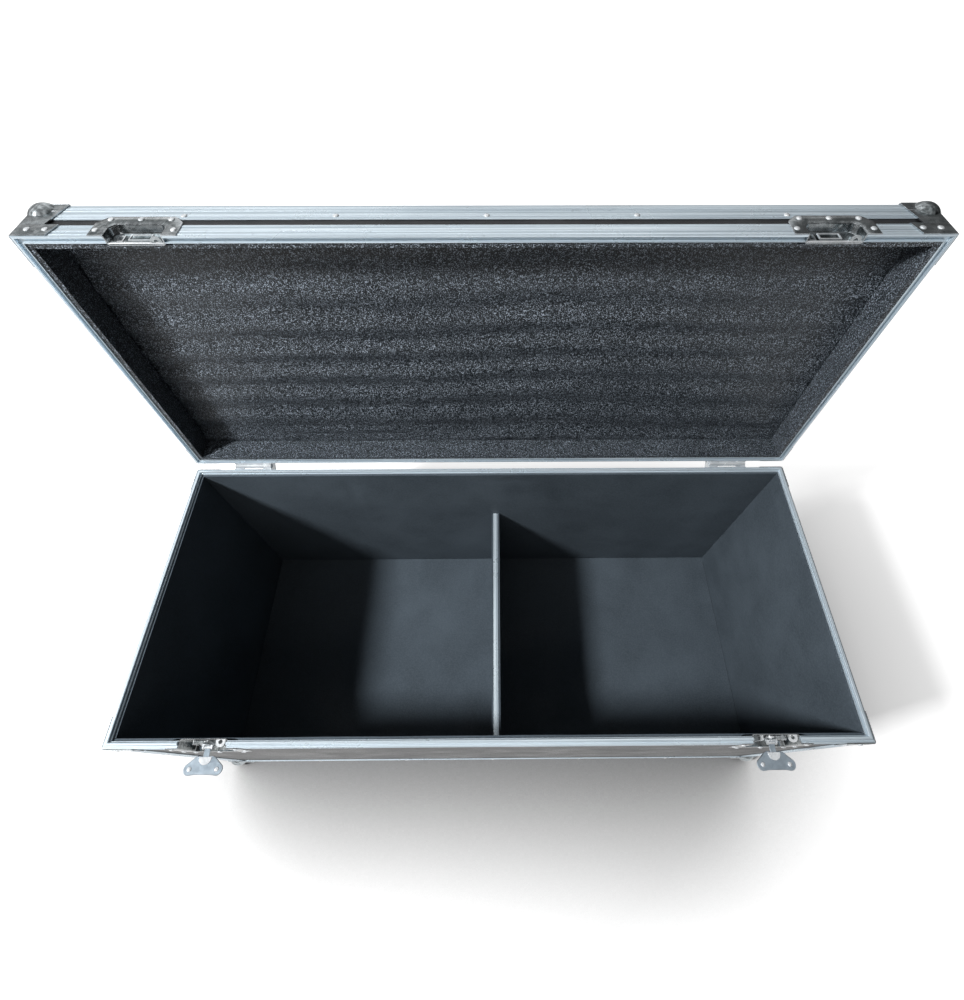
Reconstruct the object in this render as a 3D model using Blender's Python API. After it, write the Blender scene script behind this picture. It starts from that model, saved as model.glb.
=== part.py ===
"""Lighting flight case: boards held in double-angle extrusions, foam lining and butterfly latches.

The origin is the centre of the bottom board's underside. X runs to the right, Y to the rear
and Z up, in metres. The lid stands open on its hinge stops and the latches are undone.
Distances named inward are counted from the outer face of a wall into the case.
"""
import math

import bmesh
import bpy
from mathutils import Matrix, Vector

# Overall sizes, over the extrusions.
CASE_WIDTH = 1.200
CASE_DEPTH = 0.502
BASE_HEIGHT = 0.485
LID_HEIGHT = 0.071
LID_OPEN_ANGLE = math.radians(93.1)

# Fits.
GAP = 0.0003
OVERRUN = 0.004
BITE = 0.0005

# Boards and extrusions.
BOARD = 0.007
EXTRUSION_WALL = 0.0015
ANGLE_LEG = 0.033
ANGLE_TAIL = 0.0074
RIM_LEG = 0.025
BASE_RIM_TAIL = 0.010
LID_RIM_TAIL = 0.012
TONGUE_INSET = 0.0037
TONGUE_WIDTH = 0.0051
TONGUE_HEIGHT = 0.0045
TONGUE_CHAMFER = 0.0008
TONGUE_CLEARANCE = 0.0005

# Ball corners and corner braces.
BALL_RADIUS = 0.0215
BALL_INSET = 0.0125
BALL_SEGMENTS = 20
BALL_RINGS = 12
CORNER_PLATE = 0.0016
PETAL_WIDTH = 0.044
PETAL_TIP_WIDTH = 0.033
PETAL_HEIGHT = 0.040
PETAL_LEVEL_NOTCH = 0.018
BRACE_LEG = 0.054
BRACE_HEIGHT = 0.024
BRACE_MARGIN = 0.0005

# Lining and divider of the base.
WALL_LINING = 0.004
FLOOR_LINING = 0.011
LINING_TOP_DROP = 0.003
DIVIDER_OFFSET = 0.0085
DIVIDER_DROP = 0.178
DIVIDER_FOAM = 0.005
DIVIDER_CAP_WALL = 0.0012
DIVIDER_CAP_LEG = 0.020

# Foam of the lid.
LID_TOP_FOAM = 0.016
LID_STRIP_FOAM = 0.008
LID_STRIP_RISE = 0.0015

# Recessed dishes.
DISH_DEPTH = 0.012
DISH_WALL = 0.0012
DISH_FLANGE = 0.0012

# Butterfly latches.
LATCH_INSET = 0.153
LATCH_OPENING = 0.072
LATCH_OPENING_HEIGHT = 0.0605
LATCH_CHAMFER = 0.007
LATCH_FLANGE_WIDTH = 0.112
LATCH_FLANGE_HEIGHT = 0.072
LATCH_FLANGE_CHAMFER = 0.013
LATCH_AXIS_DROP = 0.020
CAM_RADIUS = 0.010
CAM_OFFSET = 0.003
CAM_FRONT = 0.005
CAM_BACK = 0.0104
HUB_RADIUS = 0.005
STUB_RADIUS = 0.003
WING_PIN_RADIUS = 0.0013
WING_PIN_INWARD = 0.0023
WING_PIN_FIT = 0.0002
LUG_RADIUS = 0.0026
LUG_WIDTH = 0.003
KNUCKLE_RADIUS = 0.0024
KNUCKLE_LENGTH = 0.0094
WING_NEAR = 0.004
WING_NEAR_WIDTH = 0.045
WING_REACH = 0.0363
WING_LOBE_OFFSET = 0.0225
WING_LOBE_RADIUS = 0.0085
WING_WAIST = 0.002
WING_WAIST_WIDTH = 0.024
WING_PLATE = 0.002
WING_PLATE_DROP = 0.0014
HOOK_PLATE = 0.002
HOOK_FRONT = 0.0053
HOOK_PULL = 0.0024
HOOK_FRAME = 0.003
HOOK_TONGUE_WIDTH = 0.014
YOKE_CLEARANCE = 0.00095
GUIDE_WALL = 0.0012
TAB_INNER = 0.0195
TAB_OUTER = 0.034
TAB_FRONT = 0.0014
TAB_MARGIN = 0.001
TAB_THICKNESS = 0.0015
TAB_HOLE_RADIUS = 0.0032

# Keeper dishes in the lid.
KEEPER_OPENING = 0.072
KEEPER_OPENING_HEIGHT = 0.025
KEEPER_CHAMFER = 0.0065
KEEPER_FLANGE_HEIGHT = 0.042
KEEPER_INWARD = 0.010
KEEPER_PLATE = 0.0014
KEEPER_BOTTOM = 0.0006
KEEPER_HEIGHT = 0.0032

# Stop hinges.
HINGE_INSET = 0.112
HINGE_WIDTH = 0.076
HINGE_AXIS_OUT = 0.0089
HINGE_LEAF = 0.002
HINGE_LEAF_HEIGHT = 0.046
HINGE_LEAF_MARGIN = 0.0012
HINGE_BARREL_RADIUS = 0.005
HINGE_PIN_RADIUS = 0.0022
HINGE_PIN_FIT = 0.0003
HINGE_WEB = 0.003
HINGE_MIDDLE_LENGTH = 0.038
HINGE_FLANGE = 0.0016
STOP_INNER = 0.003
STOP_OUTER = 0.017
STOP_LEAF_TOP = 0.003
STOP_LEAF_BOTTOM = 0.034

# Sprung handles, one in each end.
HANDLE_DROP = 0.185
HANDLE_OPENING = 0.124
HANDLE_OPENING_HEIGHT = 0.090
HANDLE_CHAMFER = 0.008
HANDLE_FLANGE_MARGIN = 0.018
HANDLE_PIVOT_DROP = 0.009
HANDLE_ROD_RADIUS = 0.004
HANDLE_ROD_INWARD = 0.006
HANDLE_LEG_OFFSET = 0.050
HANDLE_LEG_LENGTH = 0.055
HANDLE_CORNER_RADIUS = 0.012
HANDLE_STUB_BEND = 0.006
HANDLE_SLEEVE_RADIUS = 0.0055
HANDLE_SLEEVE_LENGTH = 0.070

# Facets.
ROUND_SIDES = 16
SMALL_SIDES = 12
SMOOTH_ANGLE = math.radians(40)

# Derived sizes.
SLOT = BOARD + 2 * GAP
CORE = 2 * EXTRUSION_WALL + SLOT
BOARD_FACE = EXTRUSION_WALL + GAP
BOARD_EDGE = CORE + GAP
BOTTOM_Z = -BOARD_FACE
RIM_Z = BOTTOM_Z + BASE_HEIGHT
LID_RIM_Z = RIM_Z + GAP
LID_TOP_Z = LID_RIM_Z + LID_HEIGHT
LID_WEB_TOP = TONGUE_HEIGHT + TONGUE_CLEARANCE + EXTRUSION_WALL
LINING_FACE = BOARD_EDGE + WALL_LINING
FLOOR_TOP_Z = BOTTOM_Z + BOARD_EDGE + FLOOR_LINING
DISH_BACK = DISH_DEPTH + DISH_WALL
POCKET_BACK = DISH_BACK + GAP
PROUD = GAP + DISH_FLANGE
LATCH_X = CASE_WIDTH / 2 - LATCH_INSET
LATCH_Z = RIM_Z - LATCH_AXIS_DROP
HINGE_X = CASE_WIDTH / 2 - HINGE_INSET
HINGE_Y = CASE_DEPTH / 2 + HINGE_AXIS_OUT
HINGE_Z = RIM_Z + GAP / 2
HANDLE_Z = RIM_Z - HANDLE_DROP
HANDLE_PIVOT_Z = HANDLE_Z + HANDLE_OPENING_HEIGHT / 2 - HANDLE_PIVOT_DROP
HOOK_DROP = 2 * CAM_OFFSET
YOKE_HALF_WIDTH = CAM_RADIUS + CAM_OFFSET + YOKE_CLEARANCE + HOOK_FRAME
YOKE_HIGH = CAM_OFFSET + CAM_RADIUS + YOKE_CLEARANCE + HOOK_FRAME
YOKE_LOW = CAM_OFFSET - CAM_RADIUS - YOKE_CLEARANCE - HOOK_FRAME
HOOK_TIP_END = DISH_DEPTH - GAP - HOOK_PULL
HOOK_TIP_UNDER = LATCH_AXIS_DROP + GAP + KEEPER_BOTTOM + KEEPER_HEIGHT + GAP + HOOK_DROP

SIDES = ("front", "right", "back", "left")
LEFT_END = {"front": "front_left", "right": "front_right", "back": "back_right",
            "left": "back_left"}
HANDS = (("left", -1), ("right", 1))

# Finishes: base colour, roughness, metallic.
BLACK_LAMINATE = ((0.012, 0.012, 0.013), 0.45, 0.0)
EXTRUDED_ALUMINIUM = ((0.72, 0.73, 0.74), 0.35, 1.0)
ZINC_PLATE = ((0.55, 0.57, 0.60), 0.28, 1.0)
STEEL = ((0.60, 0.60, 0.62), 0.25, 1.0)
SMOOTH_FOAM = ((0.030, 0.032, 0.036), 0.80, 0.0)
COARSE_FOAM = ((0.014, 0.015, 0.020), 0.90, 0.0)
RUBBER = ((0.015, 0.015, 0.016), 0.70, 0.0)


def clear_scene():
    """Remove every object of the opened file."""
    for item in list(bpy.data.objects):
        bpy.data.objects.remove(item, do_unlink=True)


def half_length(side):
    """Half the outer length of a wall."""
    return (CASE_WIDTH if side in ("front", "back") else CASE_DEPTH) / 2


def on_side(side):
    """Placer for a wall: along it to the right as seen from outside, inward, and up."""
    turn = Matrix.Rotation(SIDES.index(side) * math.pi / 2, 3, "Z")
    reach = (CASE_DEPTH if side in ("front", "back") else CASE_WIDTH) / 2

    def place(along, inward, up):
        return turn @ Vector((along, inward - reach, up))
    return place


def at_corner(side):
    """Placer for the corner at the left end of a wall: in from the two faces, and up."""
    place = on_side(side)
    half = half_length(side)
    return lambda beside, inward, up: place(beside - half, inward, up)


def rectangle(low_a, high_a, low_b, high_b):
    """Outline of a rectangle."""
    return [(low_a, low_b), (high_a, low_b), (high_a, high_b), (low_a, high_b)]


def arc(centre, radius, start, end, steps):
    """Points along an arc, both ends included; angles in degrees."""
    points = []
    for step in range(steps + 1):
        angle = math.radians(start + (end - start) * step / steps)
        points.append((centre[0] + radius * math.cos(angle), centre[1] + radius * math.sin(angle)))
    return points


def circle(centre, radius, sides):
    """Outline of a circle."""
    return arc(centre, radius, 0, 360 - 360 / sides, sides - 1)


def add_rings(bm, rings, closed=False):
    """Skin rings of points in order, then cap both ends, or join the ends when closed."""
    rows = [[bm.verts.new(point) for point in ring] for ring in rings]
    following = rows[1:] + rows[:1] if closed else rows[1:]
    for low, high in zip(rows, following):
        for index in range(len(low)):
            after = (index + 1) % len(low)
            bm.faces.new((low[index], low[after], high[after], high[index]))
    if not closed:
        bm.faces.new(rows[0])
        bm.faces.new(rows[-1])


def add_bar(bm, outline, place, start, end):
    """Run a section (inward, up) along a wall."""
    add_rings(bm, [section_at(place, outline, start), section_at(place, outline, end)])


def section_at(place, outline, along):
    """Section (inward, up) set square to a wall."""
    return [place(along, a, b) for a, b in outline]


def mitre_at(side, outline):
    """Section (inward, up) set on the mitre at the left end of a wall."""
    corner = at_corner(side)
    return [corner(a, a, b) for a, b in outline]


def add_slab(bm, outline, place, near, far):
    """Extrude a face outline (along, up) inward from near to far."""
    add_rings(bm, [[place(a, near, b) for a, b in outline],
                   [place(a, far, b) for a, b in outline]])


def add_level(bm, outline, place, low, high):
    """Extrude a plan outline (along, inward) upward from low to high."""
    add_rings(bm, [[place(a, b, low) for a, b in outline],
                   [place(a, b, high) for a, b in outline]])


def local(a, b, c):
    """Placer that keeps a piece at its own origin."""
    return Vector((a, b, c))


def built(add, *args, **kwargs):
    """Fresh mesh holding what one add function makes."""
    bm = bmesh.new()
    add(bm, *args, **kwargs)
    return bm


def face_outward(bm):
    """Turn the faces of a closed mesh outward."""
    bmesh.ops.recalc_face_normals(bm, faces=bm.faces)
    if bm.calc_volume(signed=True) < 0:
        bmesh.ops.reverse_faces(bm, faces=bm.faces)


def work_object(bm):
    """Temporary object for a Boolean step."""
    face_outward(bm)
    mesh = bpy.data.meshes.new("work")
    bm.to_mesh(mesh)
    bm.free()
    item = bpy.data.objects.new("work", mesh)
    bpy.context.scene.collection.objects.link(item)
    return item


def carved(body, steps):
    """Apply a row of Boolean steps (operation, mesh) to a mesh and return the result."""
    base = work_object(body)
    tools = []
    for operation, tool in steps:
        tools.append(work_object(tool))
        modifier = base.modifiers.new("step", "BOOLEAN")
        modifier.operation = operation
        modifier.object = tools[-1]
        modifier.solver = "EXACT"
    bpy.context.view_layer.update()
    evaluated = base.evaluated_get(bpy.context.evaluated_depsgraph_get())
    result = bmesh.new()
    result.from_mesh(evaluated.to_mesh())
    evaluated.to_mesh_clear()
    for item in [base] + tools:
        bpy.data.objects.remove(item, do_unlink=True)
    return result


def copied(source, place):
    """Take a mesh through a placer."""
    for vert in source.verts:
        vert.co = place(*vert.co)
    return source


def finish_material(name, finish):
    """Principled material of one sub-part."""
    colour, roughness, metallic = finish
    material = bpy.data.materials.new(name + "_finish")
    material.use_nodes = True
    shader = material.node_tree.nodes["Principled BSDF"]
    shader.inputs["Base Color"].default_value = (*colour, 1)
    shader.inputs["Roughness"].default_value = roughness
    shader.inputs["Metallic"].default_value = metallic
    return material


def make_node(name, bm, finish, origin=(0, 0, 0), parent=None, place_at=None, smooth=False):
    """Object of one sub-part: its mesh is moved to the origin given, which the object stands on."""
    face_outward(bm)
    bmesh.ops.translate(bm, verts=bm.verts, vec=-Vector(origin))
    mesh = bpy.data.meshes.new(name)
    bm.to_mesh(mesh)
    bm.free()
    if smooth:
        mesh.shade_smooth()
        mesh.set_sharp_from_angle(angle=SMOOTH_ANGLE)
    mesh.materials.append(finish_material(name, finish))
    item = bpy.data.objects.new(name, mesh)
    bpy.context.scene.collection.objects.link(item)
    item.parent = parent
    item.location = (0, 0, 0) if parent else (place_at or origin)
    return item


def lid_pivot():
    """Empty on the hinge line that holds the lid open on its stops."""
    pivot = bpy.data.objects.new("lid_pivot", None)
    bpy.context.scene.collection.objects.link(pivot)
    pivot.location = (0, HINGE_Y, HINGE_Z)
    pivot.rotation_euler = (-LID_OPEN_ANGLE, 0, 0)
    return pivot


# Extrusions.


def double_angle_section():
    """Section of the edge extrusion: outer legs, core and inner legs that hold two boards."""
    wall = EXTRUSION_WALL
    tail = CORE + ANGLE_TAIL
    inner = CORE - wall
    return [(0, 0), (ANGLE_LEG, 0), (ANGLE_LEG, wall), (CORE, wall), (CORE, inner), (tail, inner),
            (tail, CORE), (CORE, CORE), (CORE, tail), (inner, tail), (inner, CORE), (wall, CORE),
            (wall, ANGLE_LEG), (0, ANGLE_LEG)]


def base_rim_section():
    """Section of the base rim: outer leg, web with its tongue, inner leg; up is from the rim."""
    wall = EXTRUSION_WALL
    tongue_end = TONGUE_INSET + TONGUE_WIDTH
    return [(0, -RIM_LEG), (wall, -RIM_LEG), (wall, -wall), (CORE - wall, -wall),
            (CORE - wall, -BASE_RIM_TAIL), (CORE, -BASE_RIM_TAIL), (CORE, 0), (tongue_end, 0),
            (tongue_end, TONGUE_HEIGHT - TONGUE_CHAMFER), (tongue_end - TONGUE_CHAMFER, TONGUE_HEIGHT),
            (TONGUE_INSET, TONGUE_HEIGHT), (TONGUE_INSET, 0), (0, 0)]


def lid_rim_section():
    """Section of the lid rim: outer leg, groove for the tongue, inner leg; up is from the rim."""
    wall = EXTRUSION_WALL
    groove_start = TONGUE_INSET - TONGUE_CLEARANCE
    groove_end = TONGUE_INSET + TONGUE_WIDTH + TONGUE_CLEARANCE
    groove_top = TONGUE_HEIGHT + TONGUE_CLEARANCE
    return [(0, 0), (groove_start, 0), (groove_start, groove_top), (groove_end, groove_top),
            (groove_end, 0), (CORE, 0), (CORE, LID_RIM_TAIL), (CORE - wall, LID_RIM_TAIL),
            (CORE - wall, LID_WEB_TOP), (wall, LID_WEB_TOP), (wall, RIM_LEG), (0, RIM_LEG)]


def edge_frame(edge_z, up):
    """Double angle mitred round the bottom or the top of a box; up is the way into it."""
    outline = [(a, edge_z + up * b) for a, b in double_angle_section()]
    return built(add_rings, [mitre_at(side, outline) for side in SIDES], closed=True)


def corner_cubes(edge_z, up, size):
    """Cubes that take the tips off the corners of an edge frame."""
    cubes = bmesh.new()
    for side in SIDES:
        add_level(cubes, rectangle(-OVERRUN, size, -OVERRUN, size), at_corner(side),
                  edge_z - up * OVERRUN, edge_z + up * size)
    return cubes


def rim_outline(section, rim_z):
    """Rim section lifted to its rim."""
    return [(a, b + rim_z) for a, b in section]


def rim_cut(opening):
    """Half the length that a latch opening takes out of the front rim."""
    return opening / 2 + DISH_WALL + GAP


def rim_frame(section, rim_z, up, opening):
    """Rim bar from one latch round the case to the other, with braces bent round its corners."""
    outline = rim_outline(section, rim_z)
    front = on_side("front")
    end = LATCH_X + rim_cut(opening)
    rings = [section_at(front, outline, end)]
    rings += [mitre_at(side, outline) for side in ("right", "back", "left", "front")]
    rings.append(section_at(front, outline, -end))
    return carved(built(add_rings, rings), [("UNION", rim_braces(rim_z, up))])


def rim_braces(rim_z, up):
    """Corner plates bent round the rim; up is the way from the rim to its leg."""
    outer = -GAP - CORNER_PLATE
    outline = [(outer, outer), (BRACE_LEG, outer), (BRACE_LEG, BITE), (BITE, BITE),
               (BITE, BRACE_LEG), (outer, BRACE_LEG)]
    near = rim_z + up * BRACE_MARGIN
    braces = bmesh.new()
    for side in SIDES:
        add_level(braces, outline, at_corner(side), near, near + up * BRACE_HEIGHT)
    return braces


def rim_middle(section, rim_z, opening):
    """Rim bar between the two latches."""
    half = LATCH_X - rim_cut(opening)
    return built(add_bar, rim_outline(section, rim_z), on_side("front"), -half, half)


def make_base_extrusions():
    """Posts, bottom frame and rim bars of the base."""
    frame = carved(edge_frame(BOTTOM_Z, 1), [("DIFFERENCE", corner_cubes(BOTTOM_Z, 1, CORE + GAP))])
    make_node("base_bottom_frame", frame, EXTRUDED_ALUMINIUM)
    low = BOTTOM_Z + ANGLE_LEG + GAP
    high = RIM_Z - RIM_LEG - GAP
    for side in SIDES:
        post = built(add_level, double_angle_section(), at_corner(side), low, high)
        make_node("base_post_" + LEFT_END[side], post, EXTRUDED_ALUMINIUM)
    section = base_rim_section()
    make_node("base_rim_frame", rim_frame(section, RIM_Z, -1, LATCH_OPENING), EXTRUDED_ALUMINIUM)
    make_node("base_rim_middle", rim_middle(section, RIM_Z, LATCH_OPENING), EXTRUDED_ALUMINIUM)


def make_lid_extrusions(pivot):
    """Top frame with its ball corners, and rim bars of the lid."""
    frame = edge_frame(LID_TOP_Z, -1)
    steps = [("DIFFERENCE", corner_cubes(LID_TOP_Z, -1, CORE - BITE))]
    steps += [("UNION", placed_cap(side, LID_TOP_Z, -1)) for side in SIDES]
    make_lid_node("lid_top_frame", carved(frame, steps), EXTRUDED_ALUMINIUM, pivot, smooth=True)
    section = lid_rim_section()
    frame = rim_frame(section, LID_RIM_Z, 1, KEEPER_OPENING)
    make_lid_node("lid_rim_frame", frame, EXTRUDED_ALUMINIUM, pivot)
    middle = rim_middle(section, LID_RIM_Z, KEEPER_OPENING)
    make_lid_node("lid_rim_middle", middle, EXTRUDED_ALUMINIUM, pivot)


def make_lid_node(name, bm, finish, pivot, smooth=False):
    """Node of the lid, modelled shut and hung on the pivot."""
    make_node(name, bm, finish, origin=pivot.location, parent=pivot, smooth=smooth)


# Boards.


def notched_outline(start, end, far, mouth, centres, notch_half, notch_far):
    """Board outline whose mouth edge is notched at each of the latches named by their centres."""
    points = [(start, far), (start, mouth)]
    for centre in centres:
        points += [(centre - notch_half, mouth), (centre - notch_half, notch_far),
                   (centre + notch_half, notch_far), (centre + notch_half, mouth)]
    return points + [(end, mouth), (end, far)]


def handle_cut(near, far):
    """Solid that opens a wall piece for a handle dish; near and far are inward."""
    half = HANDLE_OPENING / 2 + DISH_WALL + GAP
    tall = HANDLE_OPENING_HEIGHT / 2 + DISH_WALL + GAP
    outline = rectangle(-half, half, HANDLE_Z - tall, HANDLE_Z + tall)
    return lambda side: built(add_slab, outline, on_side(side), near, far)


def make_base_boards():
    """Boards of the base; the ends are cut out for the handles and the front for the latches."""
    floor = rectangle(-CASE_WIDTH / 2 + BOARD_EDGE, CASE_WIDTH / 2 - BOARD_EDGE,
                      -CASE_DEPTH / 2 + BOARD_EDGE, CASE_DEPTH / 2 - BOARD_EDGE)
    make_node("base_board_bottom", built(add_level, floor, local, 0, BOARD), BLACK_LAMINATE)
    low = BOTTOM_Z + BOARD_EDGE
    high = RIM_Z - BOARD_FACE
    cut = handle_cut(BOARD_FACE - OVERRUN, BOARD_FACE + BOARD + OVERRUN)
    for side in SIDES:
        half = half_length(side) - BOARD_EDGE
        outline = rectangle(-half, half, low, high)
        if side == "front":
            notch = LATCH_OPENING / 2 + DISH_WALL + GAP
            depth = LATCH_OPENING_HEIGHT + DISH_WALL + GAP
            latches = (-LATCH_X, LATCH_X)
            outline = notched_outline(-half, half, low, high, latches, notch, RIM_Z - depth)
        board = built(add_slab, outline, on_side(side), BOARD_FACE, BOARD_FACE + BOARD)
        if side in ("left", "right"):
            board = carved(board, [("DIFFERENCE", cut(side))])
        make_node("base_board_" + side, board, BLACK_LAMINATE)


def make_lid_boards(pivot):
    """Boards of the lid; the front one is in two lengths, each notched for its keeper dish."""
    top = rectangle(-CASE_WIDTH / 2 + BOARD_EDGE, CASE_WIDTH / 2 - BOARD_EDGE,
                    -CASE_DEPTH / 2 + BOARD_EDGE, CASE_DEPTH / 2 - BOARD_EDGE)
    high = LID_TOP_Z - BOARD_FACE
    make_lid_node("lid_board_top", built(add_level, top, local, high - BOARD, high), BLACK_LAMINATE, pivot)
    low = LID_RIM_Z + LID_WEB_TOP + GAP
    far = LID_TOP_Z - BOARD_EDGE
    outlines = {}
    for side in SIDES[1:]:
        half = half_length(side) - BOARD_EDGE
        outlines[side] = rectangle(-half, half, low, far)
    half = half_length("front") - BOARD_EDGE
    notch = KEEPER_OPENING / 2 + DISH_WALL + GAP
    notch_far = LID_RIM_Z + KEEPER_OPENING_HEIGHT + DISH_WALL + GAP
    for name, sign in HANDS:
        start, end = sorted((sign * GAP / 2, sign * half))
        outlines["front_" + name] = notched_outline(start, end, far, low, (sign * LATCH_X,), notch, notch_far)
    for name, outline in outlines.items():
        side = name.split("_")[0]
        board = built(add_slab, outline, on_side(side), BOARD_FACE, BOARD_FACE + BOARD)
        make_lid_node("lid_board_" + name, board, BLACK_LAMINATE, pivot)


# Corners.


def corner_cap():
    """One ball corner in its own octant: a ball and three petals that lie on the faces."""
    outer = -GAP - CORNER_PLATE
    upright = [(outer, outer), (PETAL_WIDTH, outer), (PETAL_WIDTH, 0), (PETAL_TIP_WIDTH, PETAL_HEIGHT),
               (outer, PETAL_HEIGHT)]
    level = [(outer, outer), (PETAL_WIDTH, outer), (PETAL_WIDTH, PETAL_LEVEL_NOTCH),
             (PETAL_LEVEL_NOTCH, PETAL_WIDTH), (outer, PETAL_WIDTH)]
    side_petal = built(add_rings, [[(outer, a, b) for a, b in upright], [(-GAP, a, b) for a, b in upright]])
    front_petal = built(add_slab, upright, local, outer, -GAP)
    petals = built(add_level, level, local, outer, -GAP)
    low = outer - OVERRUN
    tip = built(add_level, rectangle(low, CORE, low, CORE), local, low, CORE)
    petals = carved(petals, [("UNION", side_petal), ("UNION", front_petal), ("DIFFERENCE", tip)])

    ball = bmesh.new()
    centre = Matrix.Translation((BALL_INSET, BALL_INSET, BALL_INSET))
    bmesh.ops.create_uvsphere(ball, u_segments=BALL_SEGMENTS, v_segments=BALL_RINGS,
                              radius=BALL_RADIUS, matrix=centre)
    far = BALL_INSET + BALL_RADIUS + OVERRUN
    hollow = [(rectangle(-GAP, far, -GAP, far), CORE), (rectangle(CORE, far, -GAP, far), -GAP),
              (rectangle(-GAP, far, CORE, far), -GAP)]
    steps = [("DIFFERENCE", built(add_level, plan, local, start, far)) for plan, start in hollow]
    return carved(ball, steps + [("UNION", petals)])


def placed_cap(side, edge_z, up):
    """Ball corner at the left end of a wall; up is the way into the box."""
    corner = at_corner(side)
    return copied(corner_cap(), lambda a, b, c: corner(a, b, edge_z + up * c))


def make_base_corners():
    """Ball corners that the case stands on."""
    for side in SIDES:
        cap = placed_cap(side, BOTTOM_Z, 1)
        make_node("base_ball_corner_" + LEFT_END[side], cap, ZINC_PLATE, smooth=True)


# Lining and divider of the base.


def make_linings():
    """Smooth foam on the walls and the floor, pocketed behind the dishes."""
    low = BOTTOM_Z + BOARD_EDGE
    high = RIM_Z - LINING_TOP_DROP
    latch_half = LATCH_OPENING / 2 + DISH_WALL + GAP
    latch_low = RIM_Z - LATCH_OPENING_HEIGHT - DISH_WALL - GAP
    handle_pocket = handle_cut(BOARD_EDGE - OVERRUN, POCKET_BACK)
    for side in SIDES:
        ends = BOARD_EDGE if side in ("front", "back") else LINING_FACE + GAP
        half = half_length(side) - ends
        place = on_side(side)
        lining = built(add_slab, rectangle(-half, half, low, high), place, BOARD_EDGE, LINING_FACE)
        steps = []
        if side == "front":
            for centre in (-LATCH_X, LATCH_X):
                outline = rectangle(centre - latch_half, centre + latch_half, latch_low, RIM_Z)
                pocket = built(add_slab, outline, place, BOARD_EDGE - OVERRUN, POCKET_BACK)
                steps.append(("DIFFERENCE", pocket))
        if side in ("left", "right"):
            steps.append(("DIFFERENCE", handle_pocket(side)))
        make_node("lining_" + side, carved(lining, steps), SMOOTH_FOAM)
    inset = LINING_FACE + GAP
    floor = rectangle(-CASE_WIDTH / 2 + inset, CASE_WIDTH / 2 - inset,
                      -CASE_DEPTH / 2 + inset, CASE_DEPTH / 2 - inset)
    make_node("lining_floor", built(add_level, floor, local, low, FLOOR_TOP_Z), SMOOTH_FOAM)


def make_divider():
    """Board between the compartments, its U-shaped cap and a foam face on each side."""
    half = BOARD / 2
    reach = CASE_DEPTH / 2 - LINING_FACE - GAP
    low = FLOOR_TOP_Z + GAP
    top = RIM_Z - DIVIDER_DROP
    board_top = top - DIVIDER_CAP_WALL - GAP

    def stand(name, outline, finish):
        rings = [[(DIVIDER_OFFSET + a, y, b) for a, b in outline] for y in (-reach, reach)]
        make_node(name, built(add_rings, rings), finish)

    stand("divider_board", rectangle(-half, half, low, board_top), BLACK_LAMINATE)
    inner = half + GAP
    outer = inner + DIVIDER_CAP_WALL
    skirt = top - DIVIDER_CAP_LEG
    cap = [(-outer, skirt), (-inner, skirt), (-inner, board_top + GAP), (inner, board_top + GAP),
           (inner, skirt), (outer, skirt), (outer, top), (-outer, top)]
    stand("divider_cap", cap, EXTRUDED_ALUMINIUM)
    foam_near = outer + GAP
    foam_far = half + GAP + DIVIDER_FOAM
    foam = [(half + GAP, low), (foam_far, low), (foam_far, top), (foam_near, top),
            (foam_near, skirt - GAP), (half + GAP, skirt - GAP)]
    stand("divider_foam_right", foam, SMOOTH_FOAM)
    stand("divider_foam_left", [(-a, b) for a, b in foam], SMOOTH_FOAM)


# Foam of the lid.


def make_lid_foam(pivot):
    """Top sheet and edge frame of coarse foam, pocketed behind the keeper dishes."""
    x = CASE_WIDTH / 2 - BOARD_EDGE
    y = CASE_DEPTH / 2 - BOARD_EDGE
    high = LID_TOP_Z - BOARD_EDGE
    low = high - LID_TOP_FOAM
    top = built(add_level, rectangle(-x, x, -y, y), local, low, high)
    make_lid_node("lid_foam_top", top, COARSE_FOAM, pivot)
    bottom = LID_RIM_Z + LID_STRIP_RISE
    outline = rectangle(BOARD_EDGE, BOARD_EDGE + LID_STRIP_FOAM, bottom, low - GAP)
    edge = built(add_rings, [mitre_at(side, outline) for side in SIDES], closed=True)
    pocket_half = KEEPER_OPENING / 2 + DISH_WALL + GAP
    pocket_high = LID_RIM_Z + KEEPER_OPENING_HEIGHT + DISH_WALL + GAP
    steps = []
    for centre in (-LATCH_X, LATCH_X):
        outline = rectangle(centre - pocket_half, centre + pocket_half, LID_RIM_Z, pocket_high)
        pocket = built(add_slab, outline, on_side("front"), BOARD_EDGE - OVERRUN, POCKET_BACK)
        steps.append(("DIFFERENCE", pocket))
    make_lid_node("lid_foam_edge", carved(edge, steps), COARSE_FOAM, pivot)


# Dishes.


def dish_outline(half, mouth, far, chamfer):
    """Dish outline with its two far corners chamfered; mouth and far are heights."""
    step = math.copysign(chamfer, far - mouth)
    return [(-half, mouth), (half, mouth), (half, far - step), (half - chamfer, far),
            (-half + chamfer, far), (-half, far - step)]


def dish(inner, outer, flange, extra=()):
    """Thin dish sunk into a wall, with a flange on the face, in the wall's own axes."""
    body = built(add_slab, flange, local, -PROUD, -GAP)
    tray = built(add_slab, outer, local, -PROUD + BITE, DISH_BACK)
    space = built(add_slab, inner, local, -PROUD - OVERRUN, DISH_DEPTH)
    return carved(body, [("UNION", tray), ("DIFFERENCE", space), *extra])


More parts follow.
